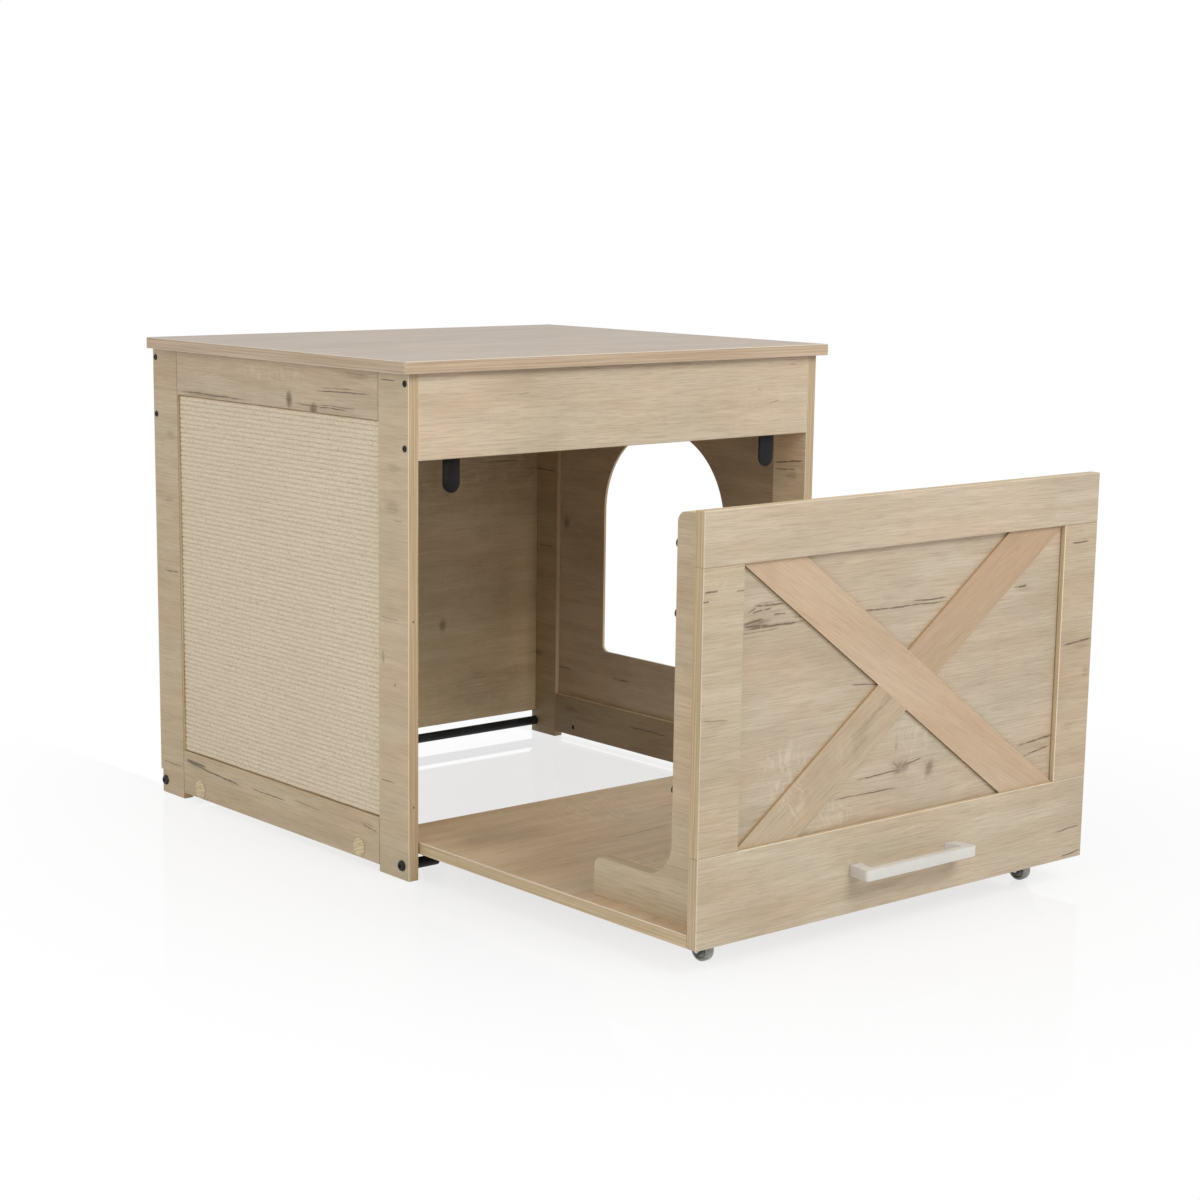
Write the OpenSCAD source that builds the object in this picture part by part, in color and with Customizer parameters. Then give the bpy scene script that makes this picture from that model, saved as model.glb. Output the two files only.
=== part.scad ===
// Cat house: a low cabinet with an arched doorway in one side, a scratching
// pad in the other, and a litter drawer on casters that pulls out of its front.
// Millimetres. X runs along the front, Y from front to back, Z up from the floor.
// The drawer is drawn pulled out. The origin is on the floor, in the middle
// of the ground that the cabinet and the open drawer cover together.

/* [Cabinet] */
// Width over the two side frames
case_w = 550; // [480:1:700]
// Depth of the side frames
case_d = 476; // [440:1:600]
// Height of the side frames
side_h = 500; // [470:1:640]
// Thickness of the cabinet and drawer boards
board = 12; // [12:0.5:16]
// Width taken off the edges of the boards
ease = 0.6; // [0.3:0.1:1]
// Reach of the top beyond each side frame
top_over_side = 10; // [0:1:30]
// Reach of the top beyond the front
top_over_front = 8; // [0:1:25]
// Distance from the back edge of the top to the back of the side frames
top_short_back = 4; // [0:1:10]
// Height of the apron under the front of the top
apron_h = 84; // [78:1:110]
// Gap left between pieces that are seated on each other
seat_gap = 0.1; // [0.05:0.05:0.2]

/* [Side frames] */
// Width of the upright stiles
stile_w = 50; // [40:1:60]
// Height of the top and bottom rails
rail_h = 48; // [40:1:60]
// Height of the bottom rails above the floor
foot_h = 7; // [4:1:12]
// Height of the cut at the back of the rear feet
toe_h = 26; // [22:1:30]
// Height of the back panel above the floor
back_lift = 28; // [26:1:60]
// Depth of the cut at the back of the rear feet
toe_d = 4.5; // [2:0.5:5]
// Thickness of the thin panels held in the frames
panel_t = 3; // [2.5:0.5:4]
// Depth of the grooves that hold the thin panels
groove_d = 6; // [4:1:10]
// Depth of the deeper recess beside a thin panel
deep_recess = 6; // [5:0.5:7]

/* [Doorway] */
// Width of the cat's doorway
door_w = 210; // [160:1:250]
// Height of the doorway's sill above the floor
door_sill = 121; // [80:1:150]
// Height of the top of the doorway's arch above the floor
door_top = 400; // [330:1:410]
// Radius of the doorway's lower corners
door_corner_r = 8; // [3:1:20]

/* [Scratching pad] */
// Thickness of the scratching pad between its ribs
pad_t = 1.4; // [1:0.1:2]
// Height of the pad's ribs
rib_h = 1.8; // [0.5:0.1:2]
// Distance between the pad's ribs
rib_pitch = 5; // [4:0.25:7]

/* [Floor bars] */
// Diameter of the long back bar and the two short front bars
bar_d = 11; // [10:0.5:13]
// Height of the bars' centres above the floor
bar_h = 14.5; // [13:0.5:16]
// Distance from a side frame's front or back edge to a bar's centre
bar_inset = 11; // [10:0.5:12]
// Length of the short front bars, which end clear of the casters' path
peg_l = 30; // [24:1:31]
// Diameter of the bar bolts' shanks
bolt_d = 6; // [5:0.5:6]
// Diameter of the bar bolts' heads
bolt_head_d = 11; // [9:0.5:12]
// Depth of the bar bolts in the bars
bolt_bite = 18; // [12:1:20]

/* [Screws and dowels] */
// Diameter of the case screws' heads
screw_head_d = 6.6; // [6:0.1:8]
// Diameter of the case screws' shanks
screw_d = 3.6; // [3:0.1:4]
// Length of the case screws
screw_l = 42; // [30:1:50]
// Distance from the top of a side frame to its upper case screws
screw_upper = 10; // [8:1:16]
// Distance from the top of a side frame to its lower case screws
screw_lower = 72; // [50:1:74]
// Diameter of the dowels
dowel_d = 6; // [5:0.5:7]
// Length of the dowels in the frames
dowel_l = 28; // [20:1:36]
// Distance between the two dowels of a joint
dowel_pitch = 24; // [16:1:26]
// Diameter of the covered holes in the bottom rails
spare_hole_d = 6.5; // [4:0.5:8]
// Distance from the front and the back to the covered holes
spare_hole_y = 85; // [70:1:120]
// Height of the covered holes above the floor
spare_hole_z = 17.5; // [15:0.5:19]
// Diameter of the covers stuck over those holes
cover_d = 20; // [16:1:21]
// Diameter of the pilot holes in the front edges
pilot_d = 2.4; // [2:0.2:3]
// Height of the upper pilot holes above the floor
pilot_upper = 260; // [200:1:320]
// Height of the lower pilot holes above the floor
pilot_lower = 75; // [60:1:120]

/* [Stop plates] */
// Width of the stop plates behind the apron
stop_w = 20; // [16:1:26]
// Thickness of the stop plates
stop_t = 2; // [1.5:0.5:3]
// Reach of the stop plates below the apron
stop_drop = 35; // [20:1:45]
// Length of the stop plates behind the apron
stop_seat = 40; // [34:1:60]
// Distance from a side frame's outer face to the middle of a stop plate
stop_inset = 61; // [56:1:90]
// Diameter of the stop plates' screws
stop_screw_d = 2.4; // [2:0.2:3]

/* [Drawer] */
// Distance that the drawer is pulled out
pull_out = 400; // [360:1:400]
// Gap between the drawer and each side frame
side_gap = 2; // [1:0.5:4]
// Height of the drawer front
front_h = 383; // [350:1:384]
// Height of the drawer front's top rail
front_top_rail = 48; // [40:1:60]
// Width of the drawer front's stiles
front_stile = 48; // [40:1:60]
// Height of the drawer front's bottom rail
front_bottom_rail = 82; // [60:1:100]
// Depth of the tray board behind the drawer front
tray_l = 448.5; // [430:0.5:451]
// Width of the crossed strips on the drawer front
brace_w = 45; // [36:1:60]
// Depth of the crossed strips below the frame's face
brace_sink = 3.4; // [0.4:0.1:4]

/* [Drawer brackets] */
// Distance from the tray's edge to a bracket
bracket_inset = 19; // [15:0.5:22]
// Width of a bracket's upright arm
arm_w = 42; // [30:1:46]
// Distance from the top of the drawer front to the top of the arms
arm_short = 6; // [2:1:20]
// Length of a bracket's foot behind the drawer front
bracket_l = 145.5; // [120:0.5:200]
// Height of a bracket's foot
bracket_h = 37; // [25:1:45]
// Radius of a bracket's inner curve
bracket_r = 33; // [15:1:40]
// Radius of a bracket's outer corners
bracket_tip_r = 10; // [4:1:12]
// Distance from the top of the drawer front to the upper arm bolts
arm_bolt_upper = 34.5; // [24:0.5:44]
// Distance from the top of the drawer front to the middle arm bolts
arm_bolt_middle = 96; // [70:1:140]
// Distance from the top of the drawer front to the lower arm bolts
arm_bolt_lower = 253; // [200:1:256]
// Diameter of the arm bolts' shanks
arm_bolt_d = 4; // [3:0.5:5]
// Diameter of the arm bolts' heads
arm_bolt_head_d = 8; // [7:0.5:9]
// Height of the arm bolts' heads
arm_bolt_head_h = 3; // [2:0.5:4]
// Depth of the arm bolts in the drawer front
arm_bolt_bite = 9; // [6:0.5:10]
// Depth of the tray screws in the brackets
tray_screw_bite = 20; // [12:1:22]
// Distance from a bracket's tip to its rear tray screw
tray_screw_end = 30; // [20:1:50]

/* [Handle] */
// Distance between the handle's screws
handle_pitch = 128; // [96:1:160]
// Overall length of the handle's grip
handle_l = 148; // [116:1:180]
// Reach of the handle from the drawer front
handle_reach = 25; // [20:1:35]
// Height of the handle's bar
handle_h = 10; // [7:0.5:12]
// Depth of the handle's bar
handle_bar = 8; // [6:0.5:9]
// Width of the handle's feet
handle_foot = 15; // [10:0.5:16]
// Diameter of the handle screws
handle_screw_d = 4; // [3:0.5:4]
// Depth of the handle screws in the handle's feet
handle_screw_bite = 12; // [6:1:14]

/* [Casters] */
// Height of a caster, which carries the tray clear of the floor
caster_h = 26; // [26:0.5:32]
// Diameter of the wheels
wheel_d = 22; // [18:0.5:22]
// Width of the wheels
wheel_w = 10; // [6:0.5:11]
// Distance from the swivel's axis to the wheel's axle
trail = 9; // [6:0.5:10]
// Distance from the drawer's side to a caster's swivel
caster_side = 45; // [35:1:80]
// Distance from the drawer front to the front casters' swivels
caster_front = 18; // [17.5:0.5:24]
// Distance from the tray's back edge to the rear casters' swivels
caster_back = 29; // [26:0.5:40]
// Side of a caster's square plate
plate_w = 32; // [28:1:34]
// Thickness of a caster's plate
plate_t = 1.6; // [1.4:0.1:2]
// Diameter of a caster's swivel pin
kingpin_d = 6; // [5:0.5:7]
// Diameter of a caster's axle
axle_d = 4; // [3:0.5:5]
// Radial clearance of the swivels and wheels on their pins
run_gap = 0.06; // [0.03:0.01:0.09]

/* [Hidden] */
$fn = 48;

// Colours as the object shows them
oak = [0.79, 0.71, 0.59];
oak_side = [0.72, 0.65, 0.54];
oak_strip = [0.80, 0.72, 0.62];
sisal = [0.80, 0.74, 0.62];
black_metal = [0.12, 0.11, 0.11];
steel = [0.62, 0.62, 0.62];
white_metal = [0.90, 0.88, 0.86];
smoke_plastic = [0.45, 0.47, 0.44];
beech = [0.85, 0.73, 0.54];

// Cut past a face, so that no skin is left over a hole
past = 1;

// The ground that the open drawer and the cabinet cover is centred on the origin
shift_y = (pull_out + handle_reach - case_d) / 2;

// Cabinet, measured from the front of the side frames
inner_w = case_w - 2 * board;
panel_bottom = foot_h + rail_h - groove_d + seat_gap;
panel_top = side_h - rail_h + groove_d - seat_gap;
panel_front = stile_w - groove_d + seat_gap;
panel_back = case_d - stile_w + groove_d - seat_gap;
groove_t = panel_t + 4 * seat_gap;
shallow_recess = board - panel_t - deep_recess;
apron_z = side_h - apron_h;
side_mid_y = case_d / 2;
bar_front_y = bar_inset;
bar_back_y = case_d - bar_inset;
screw_heights = [side_h - screw_upper, side_h - screw_lower];
screw_head_h = 1.2;
bolt_head_h = 3;
stop_screw_head_d = 5.6;
stop_screw_head_h = 1.6;
pilot_l = 12;
cover_t = 0.5;
screw_depths = [board / 2, case_d - board / 2];
joint_heights = [foot_h + rail_h / 2, side_h - rail_h / 2];
rib_base = 0.84;
rib_crest = 0.4;

// Drawer, in the same measures as the cabinet
front_w = inner_w - 2 * side_gap;
front_y = -pull_out;
back_y = front_y + board;
tray_back = back_y + tray_l;
front_z = caster_h;
front_top = front_z + front_h;
field_w = front_w - 2 * front_stile;
field_bottom = front_z + front_bottom_rail;
field_top = front_top - front_top_rail;
field_h = field_top - field_bottom;
tray_top = caster_h + board;
arm_bolt_z = [front_top - arm_bolt_lower, front_top - arm_bolt_middle, front_top - arm_bolt_upper];
tray_screw_head_d = 7;
caster_screw_bite = 9;
handle_screw_head_d = 2 * handle_screw_d;
handle_screw_head_h = 2.2;
handle_z = front_z + front_bottom_rail / 2;
bracket_x = front_w / 2 - bracket_inset - board / 2;
foot_screw_y = [back_y + arm_w / 2, back_y + bracket_l - tray_screw_end];

// Length of a strip's cut along a rail, so that its edges start in the corners
brace_cut = (sqrt(pow(brace_w, 4) * pow(field_w, 2)
    + (pow(field_h, 2) - pow(brace_w, 2)) * pow(brace_w, 2) * (pow(field_w, 2) + pow(field_h, 2)))
    - pow(brace_w, 2) * field_w) / (pow(field_h, 2) - pow(brace_w, 2));
brace_t = deep_recess - brace_sink - seat_gap;

// Casters
swivel_x = front_w / 2 - caster_side;
swivel_y = [back_y + caster_front, tray_back - caster_back];
axle_z = wheel_d / 2;
leg_t = 1.4;
leg_gap = 0.7;
web_t = 1.4;
fork_w = wheel_w + 2 * (leg_gap + leg_t);
web_z = caster_h - plate_t - 0.35 - web_t;
plate_hole = plate_w / 2 - 4.5;
plate_screw_d = 2.6;

// Box with all its edges taken off by ease, from the origin up
module eased(size) {
    intersection() {
        rotate([90, 0, 90]) linear_extrude(size.x) eased_rect(size.y, size.z);
        translate([0, size.y, 0]) rotate([90, 0, 0]) linear_extrude(size.y) eased_rect(size.x, size.z);
        linear_extrude(size.z) eased_rect(size.x, size.y);
    }
}

module eased_rect(w, h) {
    polygon([
        [ease, 0], [w - ease, 0], [w, ease], [w, h - ease],
        [w - ease, h], [ease, h], [0, h - ease], [0, ease]
    ]);
}

// Box between two corners
module box(low, high) {
    translate(low) cube(high - low);
}

// Round bar along X, Y or Z from a point
module bar_x(p, d, l) {
    translate(p) rotate([0, 90, 0]) cylinder(d = d, h = l);
}

module bar_y(p, d, l) {
    translate(p) rotate([-90, 0, 0]) cylinder(d = d, h = l);
}

module bar_z(p, d, l) {
    translate(p) cylinder(d = d, h = l);
}

// Moves a piece from the cabinet's measures to the origin
module placed() {
    translate([0, shift_y, 0]) children();
}

// Side pieces are drawn with X from the frame's outer face inwards
module on_side(right) {
    placed() mirror([right ? 1 : 0, 0, 0]) translate([-case_w / 2, 0, 0]) children();
}

// Depth of a side's groove below its outer face
function groove_x(right) = (right ? shallow_recess : deep_recess) - (groove_t - panel_t) / 2;

// Holes

module case_screw_holes() {
    for (y = screw_depths, z = screw_heights)
        bar_x([-past, y, z], screw_d + 0.2, board + screw_l);
}

module bar_bolt_holes() {
    for (y = [bar_front_y, bar_back_y])
        bar_x([-past, y, bar_h], bolt_d + 0.4, board + 2 * past);
}

module pilot_holes() {
    for (z = [pilot_lower, pilot_upper])
        bar_y([board / 2, -past, z], pilot_d, pilot_l + past);
}

module frame_dowels(d, l) {
    for (y = [stile_w, case_d - stile_w], z = joint_heights, dz = [-dowel_pitch / 2, dowel_pitch / 2])
        bar_y([board / 2, y - l / 2, z + dz], d, l);
}

module top_dowels(d, l) {
    for (y = [case_d * 0.28, case_d * 0.72])
        bar_z([board / 2, y, side_h - l / 2], d, l);
}

module side_groove(right) {
    box([groove_x(right), panel_front - seat_gap, panel_bottom - seat_gap],
        [groove_x(right) + groove_t, panel_back + seat_gap, panel_top + seat_gap]);
}

module side_holes(right) {
    case_screw_holes();
    bar_bolt_holes();
    pilot_holes();
    frame_dowels(dowel_d + 0.2, dowel_l + 0.6);
    top_dowels(dowel_d + 0.2, board + 0.6);
    side_groove(right);
}

// Side frames

module front_stile(right) {
    color(oak_side) on_side(right) difference() {
        eased([board, stile_w, side_h]);
        side_holes(right);
    }
}

module rear_stile(right) {
    color(oak_side) on_side(right) difference() {
        translate([0, case_d - stile_w, 0]) eased([board, stile_w, side_h]);
        side_holes(right);
        box([-past, case_d - toe_d, -past], [board + past, case_d + past, toe_h]);
    }
}

module side_top_rail(right) {
    color(oak_side) on_side(right) difference() {
        translate([0, stile_w, side_h - rail_h]) eased([board, case_d - 2 * stile_w, rail_h]);
        side_holes(right);
    }
}

module side_bottom_rail(right) {
    color(oak_side) on_side(right) difference() {
        translate([0, stile_w, foot_h]) eased([board, case_d - 2 * stile_w, rail_h]);
        side_holes(right);
        for (y = [spare_hole_y, case_d - spare_hole_y])
            bar_x([-past, y, spare_hole_z], spare_hole_d, board + 2 * past);
    }
}

module left_inset_panel() {
    color(oak_side) on_side(false)
        box([deep_recess, panel_front, panel_bottom], [deep_recess + panel_t, panel_back, panel_top]);
}

// Doorway outline in the side's Y and Z, with a round head and small lower corners
module doorway_outline() {
    spring = door_top - door_w / 2;
    translate([side_mid_y, spring]) circle(d = door_w, $fn = 96);
    translate([side_mid_y - door_w / 2, door_sill + door_corner_r])
        square([door_w, spring - door_sill - door_corner_r]);
    translate([side_mid_y - door_w / 2 + door_corner_r, door_sill])
        square([door_w - 2 * door_corner_r, door_corner_r + past]);
    for (s = [-1, 1])
        translate([side_mid_y + s * (door_w / 2 - door_corner_r), door_sill + door_corner_r])
            circle(r = door_corner_r);
}

module arch_panel() {
    color(oak_side) on_side(true) translate([shallow_recess, 0, 0]) rotate([90, 0, 90])
        linear_extrude(panel_t) difference() {
            translate([panel_front, panel_bottom])
                square([panel_back - panel_front, panel_top - panel_bottom]);
            doorway_outline();
        }
}

// Scratching pad: a strip of woven cord whose ribs run from front to back
function pad_profile(h, n, pitch) = concat(
    [[0, 0], [h, 0], [h, pad_t]],
    [for (i = [n - 1:-1:0], c = [[rib_base, 0], [rib_crest, rib_h], [-rib_crest, rib_h], [-rib_base, 0]])
        [(i + 0.5 + c[0] / 2) * pitch, pad_t + c[1]]],
    [[0, pad_t]]
);

module scratch_pad() {
    low = foot_h + rail_h + 1;
    high = side_h - rail_h - 1;
    ribs = floor((high - low) / rib_pitch);
    pitch = (high - low) / ribs;
    color(sisal) on_side(false)
        translate([deep_recess - seat_gap, case_d - stile_w - 1, low]) rotate([90, -90, 0])
            linear_extrude(case_d - 2 * stile_w - 2) polygon(pad_profile(high - low, ribs, pitch));
}

// Cabinet boards between the sides

module front_apron() {
    color(oak) placed() difference() {
        translate([-inner_w / 2 + seat_gap, 0, apron_z]) eased([inner_w - 2 * seat_gap, board, apron_h]);
        for (s = [false, true])
            mirror([s ? 1 : 0, 0, 0]) translate([-case_w / 2, 0, 0]) case_screw_holes();
        for (s = [-1, 1]) stop_screw_shanks(s, stop_screw_d + 0.2, stop_screw_bite);
    }
}

module back_panel() {
    color(oak_side) placed() difference() {
        translate([-inner_w / 2 + seat_gap, case_d - board, back_lift])
            eased([inner_w - 2 * seat_gap, board, side_h - back_lift]);
        for (s = [false, true])
            mirror([s ? 1 : 0, 0, 0]) translate([-case_w / 2, 0, 0]) case_screw_holes();
    }
}

module top_panel() {
    depth = case_d + top_over_front - top_short_back;
    color(oak) placed() difference() {
        translate([-case_w / 2 - top_over_side, -top_over_front, side_h])
            eased([case_w + 2 * top_over_side, depth, board]);
        for (s = [0, 1])
            mirror([s, 0, 0]) translate([-case_w / 2, 0, 0]) top_dowels(dowel_d + 0.2, board + 0.6);
    }
}

// Floor bars, bolted through the feet: a long one at the back and a short one at each front foot

module back_bar() {
    color(black_metal) placed() difference() {
        bar_x([-inner_w / 2 + seat_gap, bar_back_y, bar_h], bar_d, inner_w - 2 * seat_gap);
        for (right = [0, 1])
            mirror([right, 0, 0]) translate([-case_w / 2, 0, 0]) bar_bores(bar_back_y);
    }
}

module front_peg(right) {
    color(black_metal) on_side(right) difference() {
        bar_x([board + seat_gap, bar_front_y, bar_h], bar_d, peg_l);
        bar_bores(bar_front_y);
    }
}

module bar_bores(y) {
    bar_x([board - past, y, bar_h], bolt_d + 0.2, bolt_bite + past + 1);
}

// Button head with a hex socket, its seat at the origin and its shank along +X
module socket_bolt(head_d, head_h, shank_d, shank_l) {
    rotate([0, 90, 0]) {
        difference() {
            rotate_extrude() polygon([
                [0, 0], [head_d / 2, 0], [head_d / 2, -head_h * 0.35],
                [head_d * 0.42, -head_h * 0.8], [head_d * 0.3, -head_h], [0, -head_h]
            ]);
            translate([0, 0, -head_h - past]) cylinder(d = head_d * 0.42, h = past + head_h * 0.6, $fn = 6);
        }
        cylinder(d = shank_d, h = shank_l);
    }
}

module bar_bolts() {
    color(black_metal) for (right = [false, true], y = [bar_front_y, bar_back_y])
        on_side(right) translate([0, y, bar_h]) socket_bolt(bolt_head_d, bolt_head_h, bolt_d, board + bolt_bite);
}

module case_screws() {
    color(black_metal) for (right = [false, true], y = screw_depths, z = screw_heights)
        on_side(right) translate([0, y, z]) socket_bolt(screw_head_d, screw_head_h, screw_d, screw_l);
}

module case_dowels() {
    color(beech) for (right = [false, true]) on_side(right) {
        frame_dowels(dowel_d, dowel_l);
        top_dowels(dowel_d, board);
    }
}

module hole_covers() {
    color(oak) for (right = [false, true], y = [spare_hole_y, case_d - spare_hole_y])
        on_side(right) bar_x([-cover_t, y, spare_hole_z], cover_d, cover_t);
}

// Stop plates behind the apron

function stop_x(s) = s * (case_w / 2 - stop_inset);
stop_holes = [apron_z + stop_w * 0.6, apron_z + stop_seat - stop_w * 0.4];
stop_screw_bite = board - 3;

module stop_screw_shanks(s, d, l) {
    for (z = stop_holes)
        bar_y([stop_x(s), board - l, z], d, l + past);
}

module stop_plate(s) {
    tip_z = apron_z - stop_drop + stop_w / 2;
    color(black_metal) placed() translate([stop_x(s), board, 0]) difference() {
        translate([0, stop_t, 0]) rotate([90, 0, 0]) linear_extrude(stop_t) {
            translate([-stop_w / 2, tip_z]) square([stop_w, apron_z + stop_seat - tip_z]);
            translate([0, tip_z]) circle(d = stop_w);
        }
        for (z = stop_holes) bar_y([0, -past, z], stop_screw_d + 0.6, stop_t + 2 * past);
    }
}

module stop_screws() {
    color(black_metal) placed() for (s = [-1, 1], z = stop_holes)
        translate([stop_x(s), board + stop_t, z]) rotate([0, 0, -90])
            socket_bolt(stop_screw_head_d, stop_screw_head_h, stop_screw_d, stop_screw_bite);
}

// Drawer front: a frame with a thin panel in a groove and crossed strips on it

module drawer_front_dowels(d, l) {
    for (sx = [-1, 1], z = [field_bottom, field_top], dx = [-dowel_pitch / 2, dowel_pitch / 2])
        bar_z([sx * (front_w / 2 - front_stile / 2) + dx, front_y + board / 2, z - l / 2], d, l);
}

module drawer_groove() {
    y = front_y + deep_recess - (groove_t - panel_t) / 2;
    box([-field_w / 2 - groove_d, y, field_bottom - groove_d],
        [field_w / 2 + groove_d, y + groove_t, field_top + groove_d]);
}

module arm_bolt_shanks(d, l) {
    for (s = [-1, 1], z = arm_bolt_z)
        bar_y([s * bracket_x, back_y - arm_bolt_bite, z], d, l);
}

module handle_screw_shanks(d, l) {
    for (s = [-1, 1])
        bar_y([s * handle_pitch / 2, back_y - l, handle_z], d, l + past);
}

module drawer_cuts() {
    drawer_front_dowels(dowel_d + 0.2, dowel_l + 0.6);
    drawer_groove();
    arm_bolt_shanks(arm_bolt_d + 0.2, arm_bolt_bite + past);
    handle_screw_shanks(handle_screw_d + 0.4, board + past);
}

module drawer_rail(z, h) {
    color(oak) placed() difference() {
        translate([-front_w / 2, front_y, z]) eased([front_w, board, h]);
        drawer_cuts();
    }
}

module drawer_stile(s) {
    color(oak) placed() difference() {
        translate([s < 0 ? -front_w / 2 : front_w / 2 - front_stile, front_y, field_bottom])
            eased([front_stile, board, field_h]);
        drawer_cuts();
    }
}

module drawer_inset_panel() {
    d = groove_d - seat_gap;
    color(oak_side) placed()
        box([-field_w / 2 - d, front_y + deep_recess, field_bottom - d],
            [field_w / 2 + d, front_y + deep_recess + panel_t, field_top + d]);
}

// Strip from corner to corner in X and Z about the field's middle; rise is 1 for a falling
// strip and -1 for a climbing one, and grow widens it on both sides
module strip_outline(rise, grow) {
    a = field_w / 2 - seat_gap + grow;
    b = field_h / 2 - seat_gap;
    k = brace_cut + 2 * grow;
    polygon([[-a, rise * b], [k - a, rise * b], [a, -rise * b], [a - k, -rise * b]]);
}

module strip() {
    color(oak_strip) placed()
        translate([0, front_y + deep_recess - seat_gap, field_bottom + field_h / 2])
            rotate([90, 0, 0]) linear_extrude(brace_t) children();
}

module brace_long() {
    strip() strip_outline(1, 0);
}

module brace_half(s) {
    strip() difference() {
        strip_outline(-1, 0);
        strip_outline(1, seat_gap);
        translate([-field_w / 2 - past, s > 0 ? -field_h : 0]) square([field_w + 2 * past, field_h]);
    }
}

// Tray board and the brackets that brace it to the drawer front

module foot_screw_shanks(d, l) {
    for (s = [-1, 1], y = foot_screw_y)
        bar_z([s * bracket_x, y, caster_h], d, l);
}

module caster_screw_shanks(d, l) {
    for (sx = [-1, 1], y = swivel_y, dx = [-plate_hole, plate_hole], dy = [-plate_hole, plate_hole])
        bar_z([sx * swivel_x + dx, y + dy, caster_h], d, l);
}

module tray_board() {
    color(oak) placed() difference() {
        translate([-front_w / 2, back_y + seat_gap, caster_h]) eased([front_w, tray_l - seat_gap, board]);
        translate([0, 0, -past]) foot_screw_shanks(screw_d + 0.2, board + 2 * past);
        translate([0, 0, -past]) caster_screw_shanks(plate_screw_d + 0.2, caster_screw_bite + past);
        for (s = [-1, 1], y = foot_screw_y) translate([s * bracket_x, y, caster_h - 0.01])
            cylinder(d1 = tray_screw_head_d + 0.6, d2 = screw_d + 0.2, h = 2.4);
    }
}

// Bracket outline in Y and Z from the corner between the tray and the drawer front
module bracket_outline() {
    h = front_top - arm_short - tray_top;
    t = bracket_tip_r;
    r = bracket_r;
    difference() {
        union() {
            square([arm_w, h - t]);
            square([arm_w - t, h]);
            translate([arm_w - t, h - t]) circle(r = t);
            square([bracket_l, bracket_h - t]);
            square([bracket_l - t, bracket_h]);
            translate([bracket_l - t, bracket_h - t]) circle(r = t);
            translate([arm_w - past, bracket_h - past]) square([r + past, r + past]);
        }
        translate([arm_w + r, bracket_h + r]) circle(r = r, $fn = 64);
    }
}

module bracket(s) {
    color(oak) placed() difference() {
        translate([s * bracket_x - board / 2, back_y + seat_gap, tray_top + seat_gap])
            rotate([90, 0, 90]) linear_extrude(board) bracket_outline();
        arm_bolt_shanks(arm_bolt_d + 0.4, arm_w + arm_bolt_bite + 2 * past);
        foot_screw_shanks(screw_d - 0.4, board + tray_screw_bite + 2);
    }
}

module bracket_bolts() {
    color(black_metal) placed() for (s = [-1, 1], z = arm_bolt_z)
        translate([s * bracket_x, back_y + arm_w + 2 * seat_gap, z]) rotate([0, 0, -90])
            socket_bolt(arm_bolt_head_d, arm_bolt_head_h, arm_bolt_d, arm_w + arm_bolt_bite - 0.5);
}

module countersunk(head_d, shank_d, l) {
    cylinder(d1 = head_d, d2 = shank_d, h = (head_d - shank_d) / 2);
    cylinder(d = shank_d, h = l);
}

module tray_screws() {
    color(steel) placed() for (s = [-1, 1], y = foot_screw_y)
        translate([s * bracket_x, y, caster_h + 0.1])
            countersunk(tray_screw_head_d, screw_d - 0.6, board + tray_screw_bite);
}

// Handle: a flat bow whose legs splay a little towards the grip
module bow_outline() {
    foot_out = handle_pitch / 2 + handle_foot / 2;
    foot_in = handle_pitch / 2 - handle_foot / 2;
    grip_out = handle_l / 2;
    grip_in = grip_out - handle_bar - 2;
    round_r = 4;
    difference() {
        union() {
            polygon([
                [-foot_out, 0], [-grip_out, -handle_reach + round_r], [grip_out, -handle_reach + round_r],
                [foot_out, 0]
            ]);
            translate([-grip_out + round_r, -handle_reach])
                square([handle_l - 2 * round_r, round_r + 0.01]);
            for (s = [-1, 1])
                translate([s * (grip_out - round_r), -handle_reach + round_r]) circle(r = round_r);
        }
        polygon([
            [-foot_in, past], [-foot_in, 0], [-grip_in + 2, -handle_reach + handle_bar + 3],
            [-grip_in + 5, -handle_reach + handle_bar], [grip_in - 5, -handle_reach + handle_bar],
            [grip_in - 2, -handle_reach + handle_bar + 3], [foot_in, 0], [foot_in, past]
        ]);
    }
}

module handle() {
    color(white_metal) placed() difference() {
        translate([0, front_y - seat_gap, handle_z - handle_h / 2]) linear_extrude(handle_h) bow_outline();
        translate([0, -board, 0]) handle_screw_shanks(handle_screw_d + 0.2, handle_screw_bite + 2);
    }
}

module handle_screws() {
    color(steel) placed() for (s = [-1, 1])
        translate([s * handle_pitch / 2, back_y, handle_z]) rotate([0, 0, -90])
            socket_bolt(handle_screw_head_d, handle_screw_head_h, handle_screw_d, board + handle_screw_bite);
}

module drawer_dowels() {
    color(beech) placed() drawer_front_dowels(dowel_d, dowel_l);
}

// Casters, each drawn about its swivel's axis with the wheel trailing to the back

module at_caster(sx, i) {
    placed() translate([sx * swivel_x, swivel_y[i], 0]) children();
}

module plate_outline() {
    r = 3;
    w = plate_w / 2;
    square([plate_w, plate_w - 2 * r], center = true);
    square([plate_w - 2 * r, plate_w], center = true);
    for (x = [r - w, w - r], y = [r - w, w - r])
        translate([x, y]) circle(r = r);
}

module caster_plate(sx, i) {
    color(steel) at_caster(sx, i) translate([0, 0, caster_h - plate_t]) difference() {
        linear_extrude(plate_t) plate_outline();
        translate([0, 0, -past]) cylinder(r = kingpin_d / 2 + run_gap, h = plate_t + 2 * past);
        for (x = [-plate_hole, plate_hole], y = [-plate_hole, plate_hole])
            translate([x, y, -past]) cylinder(d = plate_screw_d + 0.4, h = plate_t + 2 * past);
    }
}

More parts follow.
